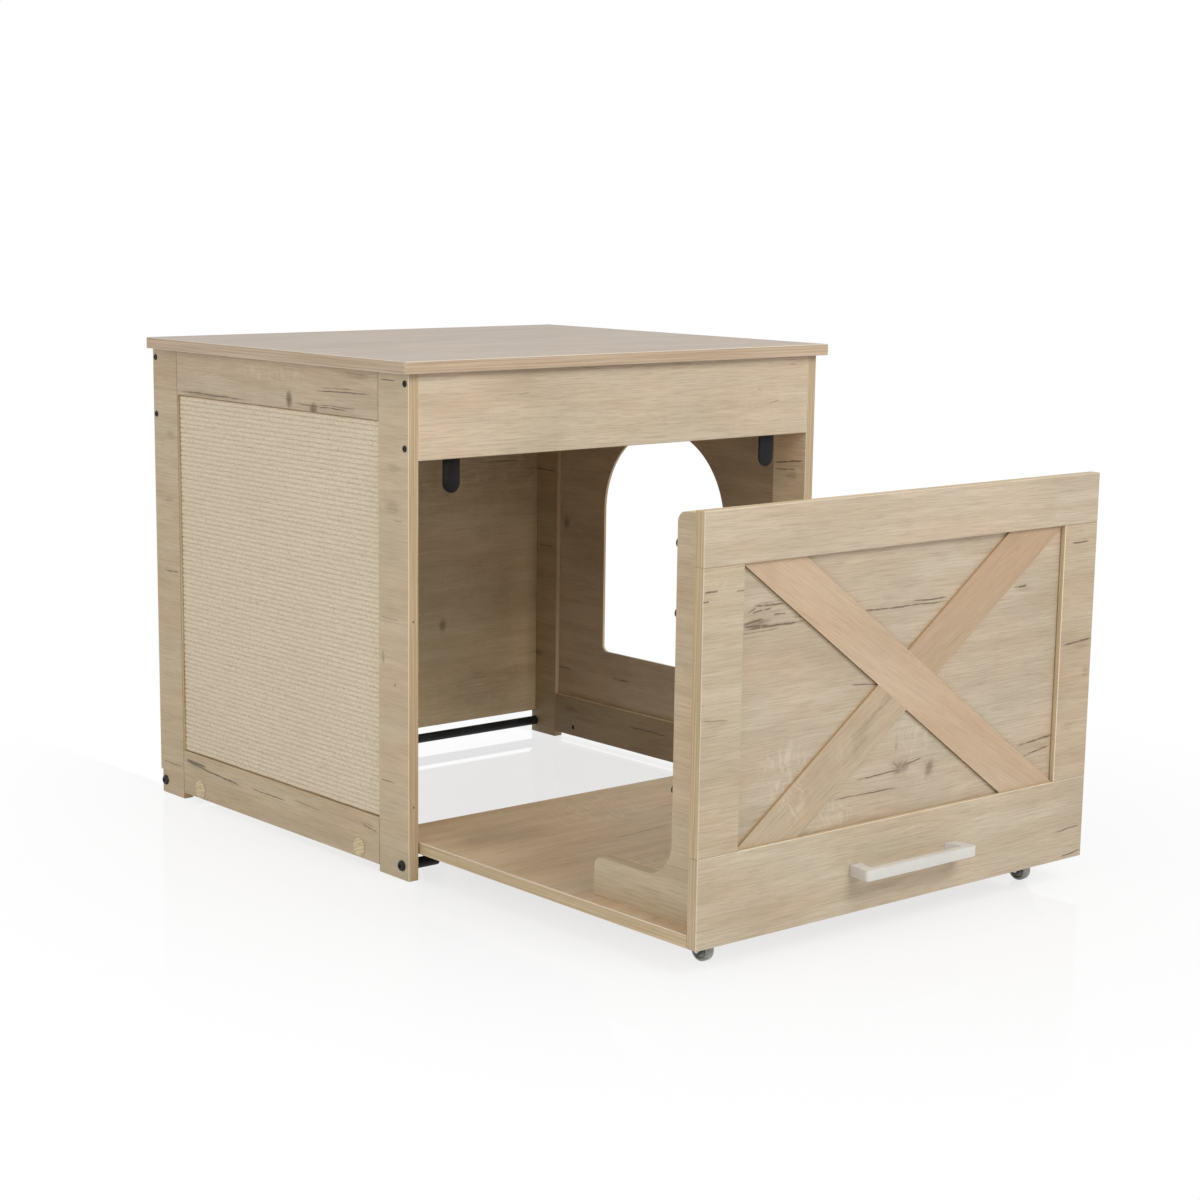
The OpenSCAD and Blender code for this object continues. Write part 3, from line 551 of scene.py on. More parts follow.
# The print on each board of the cabinet, with marks at their places in the photograph.
CABINET_FOILS: dict[str, OakFoil] = {
    # The top's grey-blue tone and band stand in for the white sheen it shows at a low angle: painted
    # reflection.
    "top_panel": OakFoil("foil_top", Z, X, 1.0, (0.775, 0.775, 0.87), 0.15, (), sheen=0.8, grit=0.6, corner_highlight=0.6,
                         edge_tone=(0.87, 0.85, 0.92)),
    # The apron's lighter tone offsets the shade under the top's overhang: painted light.
    "front_apron": OakFoil("foil_apron", Y, X, 2.0, (1.08, 1.09, 1.13), 0.3, (
        Mark(-134, 475, 16, 0.9, slope=0.1, strength=0.6), Mark(191, 466, 9, 0.9, strength=0.6),
        Mark(240, 491, 12, 0.9, strength=0.6), Mark(212, 452, 16, 1.0, slope=0.1, strength=0.7),
    )),
    # Its inner tint and the large smudge at 160, 355 darken the inside of the back: painted shade under the
    # top, and the smudge is a stain as well.
    "back_panel": OakFoil("foil_back", Y, X, 3.0, (0.93, 0.91, 0.85), 1.0, (
        Mark(160, 355, 420, 150, SMUDGE, 0, 0.8), Mark(190, 262, 90, 34, SMUDGE, 0, 0.4),
        Mark(150, 200, 130, 90, FLECK, 0, 0.35), Mark(180, 70, 200, 70, SMUDGE, 0, 0.65),
        Mark(-170, 120, 120, 40, SMUDGE, 0, 0.4), Mark(207, 347, 56, 1.4),
        Mark(115, 152, 13, 17, KNOT, 0, 0.8), Mark(-120, 240, 70, 1.2, slope=0.04),
        Mark(-60, 410, 110, 1.0, slope=-0.03), Mark(-170, 350, 14, 18, KNOT, 0, 0.7),
        Mark(20, 300, 110, 40, FLECK, 0, 0.7),
    ), inner=("-Y", (0.99, 0.96, 0.90)), calm=-0.3, grit=0.8),
    "left_front_stile": OakFoil("foil_left_front", X, Y, 4.0, (1.035, 1.015, 0.975), 0.5, (
        Mark(8, 492, 26, 1.1), Mark(0, 407, 30, 12, SMUDGE, 0, 0.5), Mark(0, 369, 34, 16, SMUDGE, 0, 0.6),
        Mark(-7, 357, 16, 0.9, strength=0.6), Mark(6, 260, 32, 1.0, slope=0.03, strength=0.6),
        Mark(17, 221, 7, 18, SMUDGE, 0, 1.0), Mark(-3, 195, 3.4, 3.4, KNOT, 0, 1.0),
        Mark(9, 96, 26, 1.3, strength=0.9),
    ), corner_highlight=0.5, seams=("+Y",), edge_tone=(0.88, 0.86, 0.85), grit=0.8),
    "left_rear_stile": OakFoil("foil_left_rear", X, Y, 5.0, (1.0, 0.97, 0.91), 0.6, (
        Mark(418, 256, 30, 1.5), Mark(416, 408, 30, 16, SMUDGE, 0, 0.6),
        Mark(423, 335, 26, 13, SMUDGE, 0, 0.6), Mark(424, 36, 46, 1.2, strength=0.9),
    ), seams=("-Y",)),
    "left_top_rail": OakFoil("foil_left_top", X, Y, 6.0, (1.0, 0.97, 0.95), 0.9, (
        Mark(329, 456, 130, 1.7, slope=0.01), Mark(335, 455, 120, 8, SMUDGE, 0, 0.7),
        Mark(180, 462, 12, 19, KNOT, 0, 1.1), Mark(84, 475, 100, 1.3, slope=-0.02),
        Mark(96, 478, 62, 0.9, slope=-0.02, strength=0.8), Mark(123, 458, 98, 1.3, slope=0.01),
        Mark(136, 455, 15, 13, KNOT, 0, 1.1), Mark(95, 460, 68, 1.1, strength=0.8),
        Mark(58, 493, 80, 9, SMUDGE, 0, 0.8), Mark(210, 484, 170, 24, FLECK, 0, 1.0),
    ), corner_highlight=0.1, seams=("-Y", "+Y")),
    "left_bottom_rail": OakFoil("foil_left_bottom", X, Y, 7.0, (1.01, 0.98, 0.92), 0.7, (
        Mark(374, 45.5, 44, 3.0, slope=0.03), Mark(368, 43, 56, 1.8, slope=0.07),
        Mark(376, 44, 46, 10, SMUDGE, 0, 1.0), Mark(322, 40, 84, 2.0, slope=0.05),
        Mark(306, 39, 52, 6, SMUDGE, 0.04, 0.8), Mark(229, 39, 70, 1.2),
        Mark(150, 42, 60, 1.0, slope=0.03, strength=0.7), Mark(44, 44, 34, 8, SMUDGE, 0, 0.9),
        Mark(40, 41, 28, 1.4, slope=0.1),
    ), corner_highlight=0.1, seams=("-Y", "+Y")),
    "left_inset_panel": OakFoil("foil_left_panel", X, Y, 8.0, (0.95, 0.94, 0.92), 0.8, (
        Mark(120, 330, 80, 1.2, slope=0.03), Mark(300, 200, 15, 19, KNOT, 0, 0.8),
        Mark(210, 150, 90, 30, FLECK),
    ), False),
    # Its inner face is tinted lighter: painted light near the opening.
    "right_front_stile": OakFoil("foil_right_front", X, Y, 9.0, (0.99, 0.97, 0.94), 0.6, (
        Mark(0, 382, 48, 1.9, slope=-0.12), Mark(5, 373, 34, 1.3, slope=-0.05),
        Mark(-6, 367, 26, 12, SMUDGE, 0, 0.8), Mark(4, 150, 30, 1.2),
    ), seams=("+Y",), edge_tone=(0.88, 0.87, 0.90), inner=("-X", (1.31, 1.27, 1.25))),
    # Its inner face is tinted darker: painted shade inside the cabinet.
    "right_rear_stile": OakFoil("foil_right_rear", X, Y, 10.0, (0.97, 0.96, 0.93), 0.6, (
        Mark(428, 335, 50, 1.5), Mark(436, 103, 28, 14, SMUDGE, 0, 0.8), Mark(420, 240, 30, 1.0),
    ), seams=("-Y",), inner=("-X", (0.74, 0.69, 0.61))),
    "right_top_rail": OakFoil("foil_right_top", X, Y, 11.0, (0.97, 0.96, 0.93), 0.8, (
        Mark(250, 470, 110, 1.4, slope=0.02), Mark(160, 482, 11, 15, KNOT, 0, 0.9),
        Mark(330, 480, 90, 22, FLECK),
    ), corner_highlight=0.1, seams=("-Y", "+Y")),
    # Its inner face is tinted darker: painted shade inside the cabinet.
    "right_bottom_rail": OakFoil("foil_right_bottom", X, Y, 12.0, (0.97, 0.955, 0.92), 0.6, (
        Mark(226, 37, 74, 1.3), Mark(368, 40, 36, 12, SMUDGE, 0, 0.9), Mark(90, 34, 50, 1.2, slope=0.03),
    ), corner_highlight=0.1, seams=("-Y", "+Y"), inner=("-X", (0.58, 0.52, 0.43))),
    # Its inner face is tinted darker: painted shade inside the cabinet.
    "arch_panel": OakFoil("foil_arch", X, Y, 13.0, (0.96, 0.94, 0.90), 0.8, (
        Mark(389, 271, 13, 17, KNOT, 0, 0.8), Mark(389, 89, 27, 1.3), Mark(282, 90, 36, 1.1),
        Mark(70, 260, 40, 1.2, slope=0.05), Mark(80, 180, 12, 16, KNOT, 0, 0.7),
    ), inner=("-X", (0.86, 0.83, 0.84)), calm=-0.3, grit=0.8),
}

# The print on each board of the drawer, with painted contact shade where the bottom rail, the right stile and
# the long strip meet the inset panel.
DRAWER_FOILS: dict[str, OakFoil] = {
    "drawer_top_rail": OakFoil("foil_drawer_top", Y, X, 20.0, (0.92, 0.92, 0.95), 0.3, (), corner_highlight=0.3,
                               edge_tone=(0.93, 0.92, 0.90)),
    "drawer_bottom_rail": OakFoil("foil_drawer_bottom", Y, X, 21.0, (0.90, 0.91, 0.93), 0.3, (
        Mark(238, 57, 40, 1.4, slope=0.05), Mark(245, 31, 32, 1.4, slope=0.1),
    ), corner_highlight=0.4, contact_shade=("+Z", PANEL_FACE), edge_tone=(0.93, 0.93, 0.95)),
    "drawer_left_stile": OakFoil("foil_drawer_left", Y, X, 22.0, (0.875, 0.875, 0.865), 0.5, (
        Mark(-252, 340, 17, 1.8), Mark(-218, 338, 10, 1.3, strength=0.7), Mark(-258, 332, 8, 1.3),
        Mark(-244, 228, 34, 1.0, slope=-0.1, strength=0.7), Mark(-240, 224, 40, 10, SMUDGE, 0, 0.35),
        Mark(-240, 345, 30, 12, FLECK),
    ), seams=("-Z", "+Z"), edge_tone=(0.93, 0.92, 0.90)),
    "drawer_right_stile": OakFoil("foil_drawer_right", Y, X, 23.0, (0.86, 0.83, 0.81), 0.6, (
        Mark(236, 343, 27, 1.5), Mark(240, 245, 46, 2.4, slope=0.07), Mark(246, 240, 34, 9, SMUDGE, 0, 0.6),
        Mark(253, 214, 14, 16, SMUDGE, 0, 0.7), Mark(230, 162, 22, 12, SMUDGE, 0, 0.5),
    ), corner_highlight=0.7, seams=("-Z", "+Z"), contact_shade=("-X", PANEL_FACE)),
    "drawer_inset_panel": OakFoil("foil_drawer_panel", Y, X, 24.0, (0.87, 0.87, 0.895), 0.5, (
        Mark(-177, 321, 40, 1.6, slope=-0.02), Mark(-182, 322.5, 32, 5, SMUDGE, 0, 1.0),
        Mark(-186, 317, 26, 1.8, slope=0.1), Mark(-198, 318, 10, 1.4, slope=0.35), Mark(-164, 312, 16, 1.5),
        Mark(-190, 307, 34, 7, KNOT, 0, 0.8), Mark(-196, 308, 26, 2.2, slope=0.12),
        Mark(-192, 304, 34, 2.4, slope=-0.05), Mark(-169, 302.5, 78, 2.2, slope=0.01),
        Mark(-188, 299, 50, 1.0, strength=0.6), Mark(-138, 307, 20, 1.2),
        Mark(-183, 311, 64, 26, SMUDGE, -0.02, 0.45), Mark(-6, 303, 130, 1.7, slope=-0.016),
        Mark(30, 306, 50, 1.7, slope=-0.02), Mark(157, 306, 20, 2.4), Mark(162, 304, 34, 8, SMUDGE, 0, 0.5),
        Mark(76, 309, 32, 7, SMUDGE, 0, 0.6), Mark(-52, 236, 42, 1.3, slope=-0.1),
        Mark(189, 152, 56, 2.2, slope=0.07), Mark(190, 141, 44, 1.5, slope=0.14),
        Mark(190, 146, 56, 12, SMUDGE, 0, 0.5), Mark(100, 218, 70, 5, SMUDGE, 0.05, 0.35),
        Mark(-5, 152, 16, 14, KNOT, 0.5, 0.7), Mark(-8, 155, 11, 1.8, slope=-0.8, strength=0.6),
        Mark(2, 154, 9, 2.2, slope=0.9, strength=0.6), Mark(-3, 149, 10, 1.8, slope=0.2, strength=0.7),
        Mark(4, 152, 14, 11, KNOT, 0.2, 0.6), Mark(-4, 154, 34, 26, SMUDGE, 0, 0.7),
        Mark(-30, 149.5, 66, 1.5, slope=0.03), Mark(12, 155, 32, 1.3, slope=0.16),
        Mark(37, 146, 13, 18, KNOT, 0.7, 0.8), Mark(38, 145, 9, 2.0, slope=0.9, strength=0.7),
        Mark(36, 149, 9, 1.8, slope=0.3, strength=0.6), Mark(37, 147, 26, 28, SMUDGE, 0, 0.6),
        Mark(150, 230, 150, 140, SMUDGE, 0, 0.14), Mark(60, 172, 40, 24, FLECK, 0, 0.7),
        Mark(-46, 134, 90, 1.3, slope=-0.01), Mark(-9, 174, 5, 30, SMUDGE, 0, 0.8),
        Mark(14, 176, 66, 40, FLECK, 0, 1.0), Mark(-152, 170, 84, 78, FLECK), Mark(-95, 122, 90, 30, FLECK),
    ), False),
    "brace_long": OakFoil("foil_brace_long", Y, X, 25.0, (0.91, 0.825, 0.79), 0.0, (), True, -STRIP_LEAN,
                          grit=0.7, corner_highlight=0.1, edge_tone=STRIP_EDGE_SHADE, contact_shade=("*", PANEL_FACE), calm=0.4),
    "brace_upper": OakFoil("foil_brace_upper", Y, X, 26.0, (0.785, 0.68, 0.615), 0.0, (), True, STRIP_LEAN,
                           grit=0.7, corner_highlight=0.1, edge_tone=STRIP_GOLD, calm=0.5),
    "brace_lower": OakFoil("foil_brace_lower", Y, X, 27.0, (0.84, 0.80, 0.77), 0.1, (
        Mark(-142, 143, 60, 52, FLECK), Mark(-26, 221, 22, 15, KNOT, 0.6, 0.3),
        Mark(-50, 200, 60, 20, SMUDGE, 0.6, 0.6), Mark(-44, 206, 34, 16, SMUDGE, 0.6, 0.8),
        Mark(-60, 184, 30, 22, SMUDGE, 0.6, 0.6), Mark(-80, 176, 60, 40, FLECK, 0.6, 0.5),
    ), True, STRIP_LEAN, grit=0.9, corner_highlight=0.1, edge_tone=STRIP_GOLD, calm=0.3),
    "tray_board": OakFoil("foil_tray", Z, X, 28.0, (1.19, 1.11, 1.02), 0.4, (
        Mark(-40, -40, 190, 90, FLECK, 0, 0.9), Mark(-120, -225, 170, 110, FLECK, 0, 1.0),
        # The smudge at -170, -55 is a painted shadow of the cabinet on the tray's left.
        Mark(-60, -250, 200, 70, FLECK, 0, 0.7), Mark(-170, -55, 170, 90, SMUDGE, 0, 0.45),
        Mark(-20, 0, 160, 80, FLECK, 0, 0.9), Mark(-57, -125, 80, 1.2, slope=0.08),
        Mark(60, -60, 90, 1.2, slope=0.03), Mark(80, -190, 150, 40, FLECK, 0, 0.6),
    ), grit=0.9, corner_highlight=0.9, calm=-0.2),
    "left_bracket": OakFoil("foil_left_bracket", X, Y, 29.0, (1.01, 0.985, 0.93), 0.3, (
        Mark(-300, 150, 34, 1.1), Mark(-340, 250, 30, 12, SMUDGE, 0, 0.4),
    ), corner_highlight=0.6),
    "right_bracket": OakFoil("foil_right_bracket", X, Y, 30.0, (0.98, 0.97, 0.92), 0.3, (
        Mark(-310, 60, 50, 1.1), Mark(-350, 200, 26, 30, FLECK),
    ), corner_highlight=0.6),
}


@dataclass(frozen=True)
class SisalCord:
    """Woven sisal cord: pale fibres, with painted shade between the ribs."""

    name: str = "sisal_cord"
    pitch: float = 0.005  # height of one cord in metres
    low: float = 0.056  # the pad's lower edge

    def make(self) -> bpy.types.Material:
        """Builds the material."""
        r = Recipe(self.name)
        _, y, z = r.split(r.place)
        phase = (z - self.low) * (2 * math.pi / self.pitch)
        wave = r.noise(y * 30, z * 160, 2.0, 2) - 0.5
        crest = (0.5 - (phase + math.pi / 2 + wave * 1.2).sine() * 0.5)
        twist = r.noise(y * 460 + z * 260, z * 700, 1.5, 2, 0.6)
        strand = r.noise(y * 130, z * 1500, 4.0, 3, 0.7)
        row = r.noise(y * 14, z * 200, 6.0, 2)
        cloud = r.noise(y * 9, z * 9, 7.0, 3)
        knot = r.noise(y * 170, z * 200, 9.0, 1).ramp(0.62, 0.74)
        colour = r.mix(twist.ramp(0.3, 0.7), (0.715, 0.585, 0.42), (0.865, 0.745, 0.58))
        colour = r.mix(strand.ramp(0.35, 0.65) * 0.4, colour, (0.94, 0.84, 0.68))
        # Painted shade in the grooves between the cords.
        colour = r.mix((1 - crest).ramp(0.5, 1.0) * 0.16, colour, (0.50, 0.40, 0.27))
        colour = r.mix(knot * 0.28, colour, (0.47, 0.39, 0.28))
        colour = r.mix(row.ramp(0.5, 0.8) * 0.16, colour, (0.50, 0.42, 0.30))
        colour = r.mix(cloud.ramp(0.35, 0.75) * 0.18, colour, (0.70, 0.60, 0.45))
        return r.finish(colour, 0.93, twist * 0.6 + strand * 0.4, 0.0003, Specular_IOR_Level=0.12)


@dataclass(frozen=True)
class Metal:
    """A metal part, lacquered or plated, with fine grain.

    Attributes:
        name: the material's name.
        colour: its main colour.
        other: the colour that it drifts to.
        metallic: how metallic it is.
        roughness: how matte it is.
        grain: size of the grain of the coat, in grains a metre.
        depth: relief of the coat in metres.
        sheen: how strongly a coat that isn't metallic reflects.
    """

    name: str
    colour: Colour
    other: Colour
    metallic: float
    roughness: float
    grain: float = 2600.0
    depth: float = 0.00004
    sheen: float = 0.5

    def make(self) -> bpy.types.Material:
        """Builds the material."""
        r = Recipe(self.name)
        x, y, z = r.split(r.place)
        orange = r.noise(x * self.grain, y * self.grain, z * self.grain, 2)
        drift = r.noise(x * 45, y * 45, z * 45, 3)
        colour = r.mix(drift.ramp(0.35, 0.7), self.colour, self.other)
        rough = self.roughness + (orange - 0.5) * 0.22 + (drift - 0.5) * 0.12
        return r.finish(colour, rough, orange, self.depth, Metallic=self.metallic,
                        Specular_IOR_Level=self.sheen)


@dataclass(frozen=True)
class Plastic:
    """Moulded plastic, slightly cloudy.

    Attributes:
        name: the material's name.
        colour: its main colour.
        other: the colour that it drifts to.
        roughness: how matte it is.
        coat: strength of a clear coat.
    """

    name: str
    colour: Colour
    other: Colour
    roughness: float = 0.35
    coat: float = 0.0

    def make(self) -> bpy.types.Material:
        """Builds the material."""
        r = Recipe(self.name)
        x, y, z = r.split(r.place)
        cloud = r.noise(x * 160, y * 160, z * 160, 3, 0.6)
        fine = r.noise(x * 2200, y * 2200, z * 2200, 1)
        colour = r.mix(cloud.ramp(0.35, 0.68), self.colour, self.other)
        rough = self.roughness + (fine - 0.5) * 0.2
        return r.finish(colour, rough, fine, 0.00003, Coat_Weight=self.coat)


# Painted shade of the spare hole, on the faces that look inward.
HOLE_SHADE: Colour = (0.03, 0.022, 0.015)


@dataclass(frozen=True)
class HoleCover:
    """The round sticker over a spare hole: cream with fine grain lines, and painted shade of the hole where
    it looks inward.
    """

    name: str = "hole_cover"

    def make(self) -> bpy.types.Material:
        """Builds the material."""
        r = Recipe(self.name)
        x, y, z = r.split(r.place)
        line = r.noise(y * 90 + z * 60, z * 480 + y * 160, 3.0, 2, 0.6)
        cloud = r.noise(y * 120, z * 120, 5.0, 2)
        colour = r.mix(line.ramp(0.42, 0.58), (0.78, 0.655, 0.430), (0.62, 0.485, 0.285))
        colour = r.mix(cloud.ramp(0.45, 0.75) * 0.25, colour, (0.84, 0.73, 0.52))
        # Faces that look inward, into the hole, take its painted shade.
        outward = x * r.normal()[0] * 1000
        colour = r.mix((outward * -1).held(), colour, HOLE_SHADE)
        return r.finish(colour, 0.5 + line * 0.1, line, 0.00005, Specular_IOR_Level=0.3)


class Bench:
    """The modelling steps that every piece shares."""

    @staticmethod
    def clear() -> None:
        """Leaves object mode with nothing selected."""
        if bpy.context.object is not None and bpy.context.object.mode != "OBJECT":
            bpy.ops.object.mode_set(mode="OBJECT")
        bpy.ops.object.select_all(action="DESELECT")

    @staticmethod
    def pick(piece: bpy.types.Object) -> bpy.types.Object:
        """Selects one piece alone and makes it active."""
        Bench.clear()
        piece.select_set(True)
        bpy.context.view_layer.objects.active = piece
        return piece

    @staticmethod
    def block(name: str, low: Sequence[float], high: Sequence[float]) -> bpy.types.Object:
        """Adds a block between two corners.

        Args:
            name: the piece's name.
            low: its lowest corner in metres.
            high: its highest corner.

        Returns:
            The block, with its place still on its object.
        """
        Bench.clear()
        middle = [(a + b) / 2 for a, b in zip(low, high)]
        bpy.ops.mesh.primitive_cube_add(size=1, location=middle)
        piece = bpy.context.object
        piece.name = name
        piece.scale = [b - a for a, b in zip(low, high)]
        return Bench.settle(piece)

    @staticmethod
    def rod(name: str, centre: Sequence[float], axis: Axis, radius: float, length: float,
            sides: int = 32) -> bpy.types.Object:
        """Adds a round rod.

        Args:
            name: the piece's name.
            centre: its middle in metres.
            axis: its direction.
            radius: its radius.
            length: its length.
            sides: its number of sides.

        Returns:
            The rod, with its place in its mesh.
        """
        Bench.clear()
        turn = {X: (0, math.pi / 2, 0), Y: (math.pi / 2, 0, 0), Z: (0, 0, 0)}[axis]
        bpy.ops.mesh.primitive_cylinder_add(vertices=sides, radius=radius, depth=length,
                                            location=centre, rotation=turn)
        piece = bpy.context.object
        piece.name = name
        return Bench.settle(piece)

    @staticmethod
    def settle(piece: bpy.types.Object) -> bpy.types.Object:
        """Moves a piece's place, turn and size into its mesh."""
        Bench.pick(piece)
        bpy.ops.object.transform_apply(location=True, rotation=True, scale=True)
        return piece

    @staticmethod
    def modify(piece: bpy.types.Object, kind: str, **settings: object) -> bpy.types.Object:
        """Adds a modifier and applies it.

        Args:
            piece: the piece.
            kind: the modifier's type.
            settings: its properties.

        Returns:
            The same piece.
        """
        Bench.pick(piece)
        modifier = piece.modifiers.new(kind.title(), kind)
        for key, value in settings.items():
            setattr(modifier, key, value)
        bpy.ops.object.modifier_apply(modifier=modifier.name)
        return piece

    @staticmethod
    def round_off(piece: bpy.types.Object, width: float, segments: int = 3,
                  angle: float = 30) -> bpy.types.Object:
        """Rounds a piece's sharp edges and shades it smooth.

        Args:
            piece: the piece.
            width: the round's width in metres.
            segments: its steps.
            angle: the sharpest angle left alone, in degrees.

        Returns:
            The same piece.
        """
        Bench.modify(piece, "BEVEL", width=width, segments=segments, limit_method="ANGLE",
                     angle_limit=math.radians(angle), harden_normals=False)
        Bench.pick(piece)
        bpy.ops.object.shade_smooth_by_angle(angle=math.radians(42))
        return piece

    @staticmethod
    def copy_node(name: str, node: str) -> bpy.types.Object:
        """Copies a node's mesh into a piece of its own and merges its loose triangles.

        Args:
            name: the new piece's name.
            node: the node that it is copied from.

        Returns:
            The copy.
        """
        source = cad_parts[node]
        piece = bpy.data.objects.new(name, source.data.copy())
        bpy.context.scene.collection.objects.link(piece)
        piece.data.materials.clear()
        Bench.pick(piece)
        bpy.ops.object.mode_set(mode="EDIT")
        bpy.ops.mesh.select_all(action="SELECT")
        bpy.ops.mesh.remove_doubles(threshold=0.00001)
        bpy.ops.mesh.dissolve_limited(angle_limit=math.radians(1))
        bpy.ops.object.mode_set(mode="OBJECT")
        return piece

    @staticmethod
    def join(name: str, pieces: Sequence[bpy.types.Object]) -> bpy.types.Object:
        """Joins two or more pieces into one under a new name."""
        Bench.pick(pieces[0])
        for piece in pieces[1:]:
            piece.select_set(True)
        bpy.ops.object.join()
        pieces[0].name = name
        return pieces[0]

    @staticmethod
    def twin(piece: bpy.types.Object, move: Sequence[float]) -> bpy.types.Object:
        """Copies a piece with its own mesh and moves the copy.

        Args:
            piece: the piece to copy.
            move: how far the copy goes.

        Returns:
            The copy.
        """
        copy = bpy.data.objects.new(piece.name + "_twin", piece.data.copy())
        bpy.context.scene.collection.objects.link(copy)
        copy.data.transform(Matrix.Translation(Vector(move)))
        return copy

    @staticmethod
    def dress(piece: bpy.types.Object, material: bpy.types.Material) -> None:
        """Gives a piece one material on every face."""
        piece.data.materials.clear()
        piece.data.materials.append(material)

    @staticmethod
    def press_in(piece: bpy.types.Object, facing: Vector, inset: float, depth: float) -> None:
        """Insets the faces that look one way and pushes them in.

        Args:
            piece: the piece.
            facing: the direction that the faces look in.
            inset: how far the edge moves in.
            depth: how deep they go.
        """
        Bench.pick(piece)
        bpy.ops.object.mode_set(mode="EDIT")
        bpy.ops.mesh.select_mode(type="FACE")
        bpy.ops.mesh.select_all(action="DESELECT")
        mesh = bmesh.from_edit_mesh(piece.data)
        for face in mesh.faces:
            face.select_set(face.normal.dot(facing) > 0.95)
        bmesh.update_edit_mesh(piece.data)
        bpy.ops.mesh.inset(thickness=inset, depth=0)
        bpy.ops.mesh.extrude_region_move(TRANSFORM_OT_translate={"value": tuple(-facing * depth)})
        bpy.ops.object.mode_set(mode="OBJECT")


class Finishes:
    """Every finish that more than one board or fitting shares."""

    def __init__(self) -> None:
        """Builds the shared materials."""
        self.black = Metal("black_lacquer", (0.010, 0.010, 0.011), (0.020, 0.019, 0.019), 0.0, 0.50,
                           sheen=0.18).make()
        self.screw_black = Metal("black_oxide", (0.012, 0.010, 0.010), (0.026, 0.022, 0.022), 0.0, 0.42,
                                 sheen=0.25).make()
        self.zinc = Metal("zinc_plate", (0.56, 0.57, 0.58), (0.44, 0.45, 0.46), 0.9, 0.34).make()
        self.white = Metal("white_lacquer", (0.68, 0.66, 0.62), (0.64, 0.62, 0.58), 0.0, 0.38).make()
        self.smoke = Plastic("smoky_wheel", (0.27, 0.29, 0.265), (0.42, 0.44, 0.40), 0.26, 0.35).make()
        self.fork = Plastic("fork_moulding", (0.035, 0.038, 0.036), (0.06, 0.065, 0.06), 0.4).make()
        self.cover = HoleCover().make()
        self.beech = OakFoil("plain_beech", X, Y, 8.0, (1.1, 1.09, 1.1), 0.1, (), False).make()
        self.sisal = SisalCord().make()


def dress_boards(foils: dict[str, OakFoil], dowels: str, beech: bpy.types.Material) -> None:
    """Gives each board its own print, and the dowels plain beech.

    Args:
        foils: the print of each board's node.
        dowels: the dowels' node.
        beech: their finish.
    """
    for node, foil in foils.items():
        Bench.dress(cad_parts[node], foil.make())
    Bench.dress(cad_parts[dowels], beech)
    log.info("boards dressed: %d", len(foils))


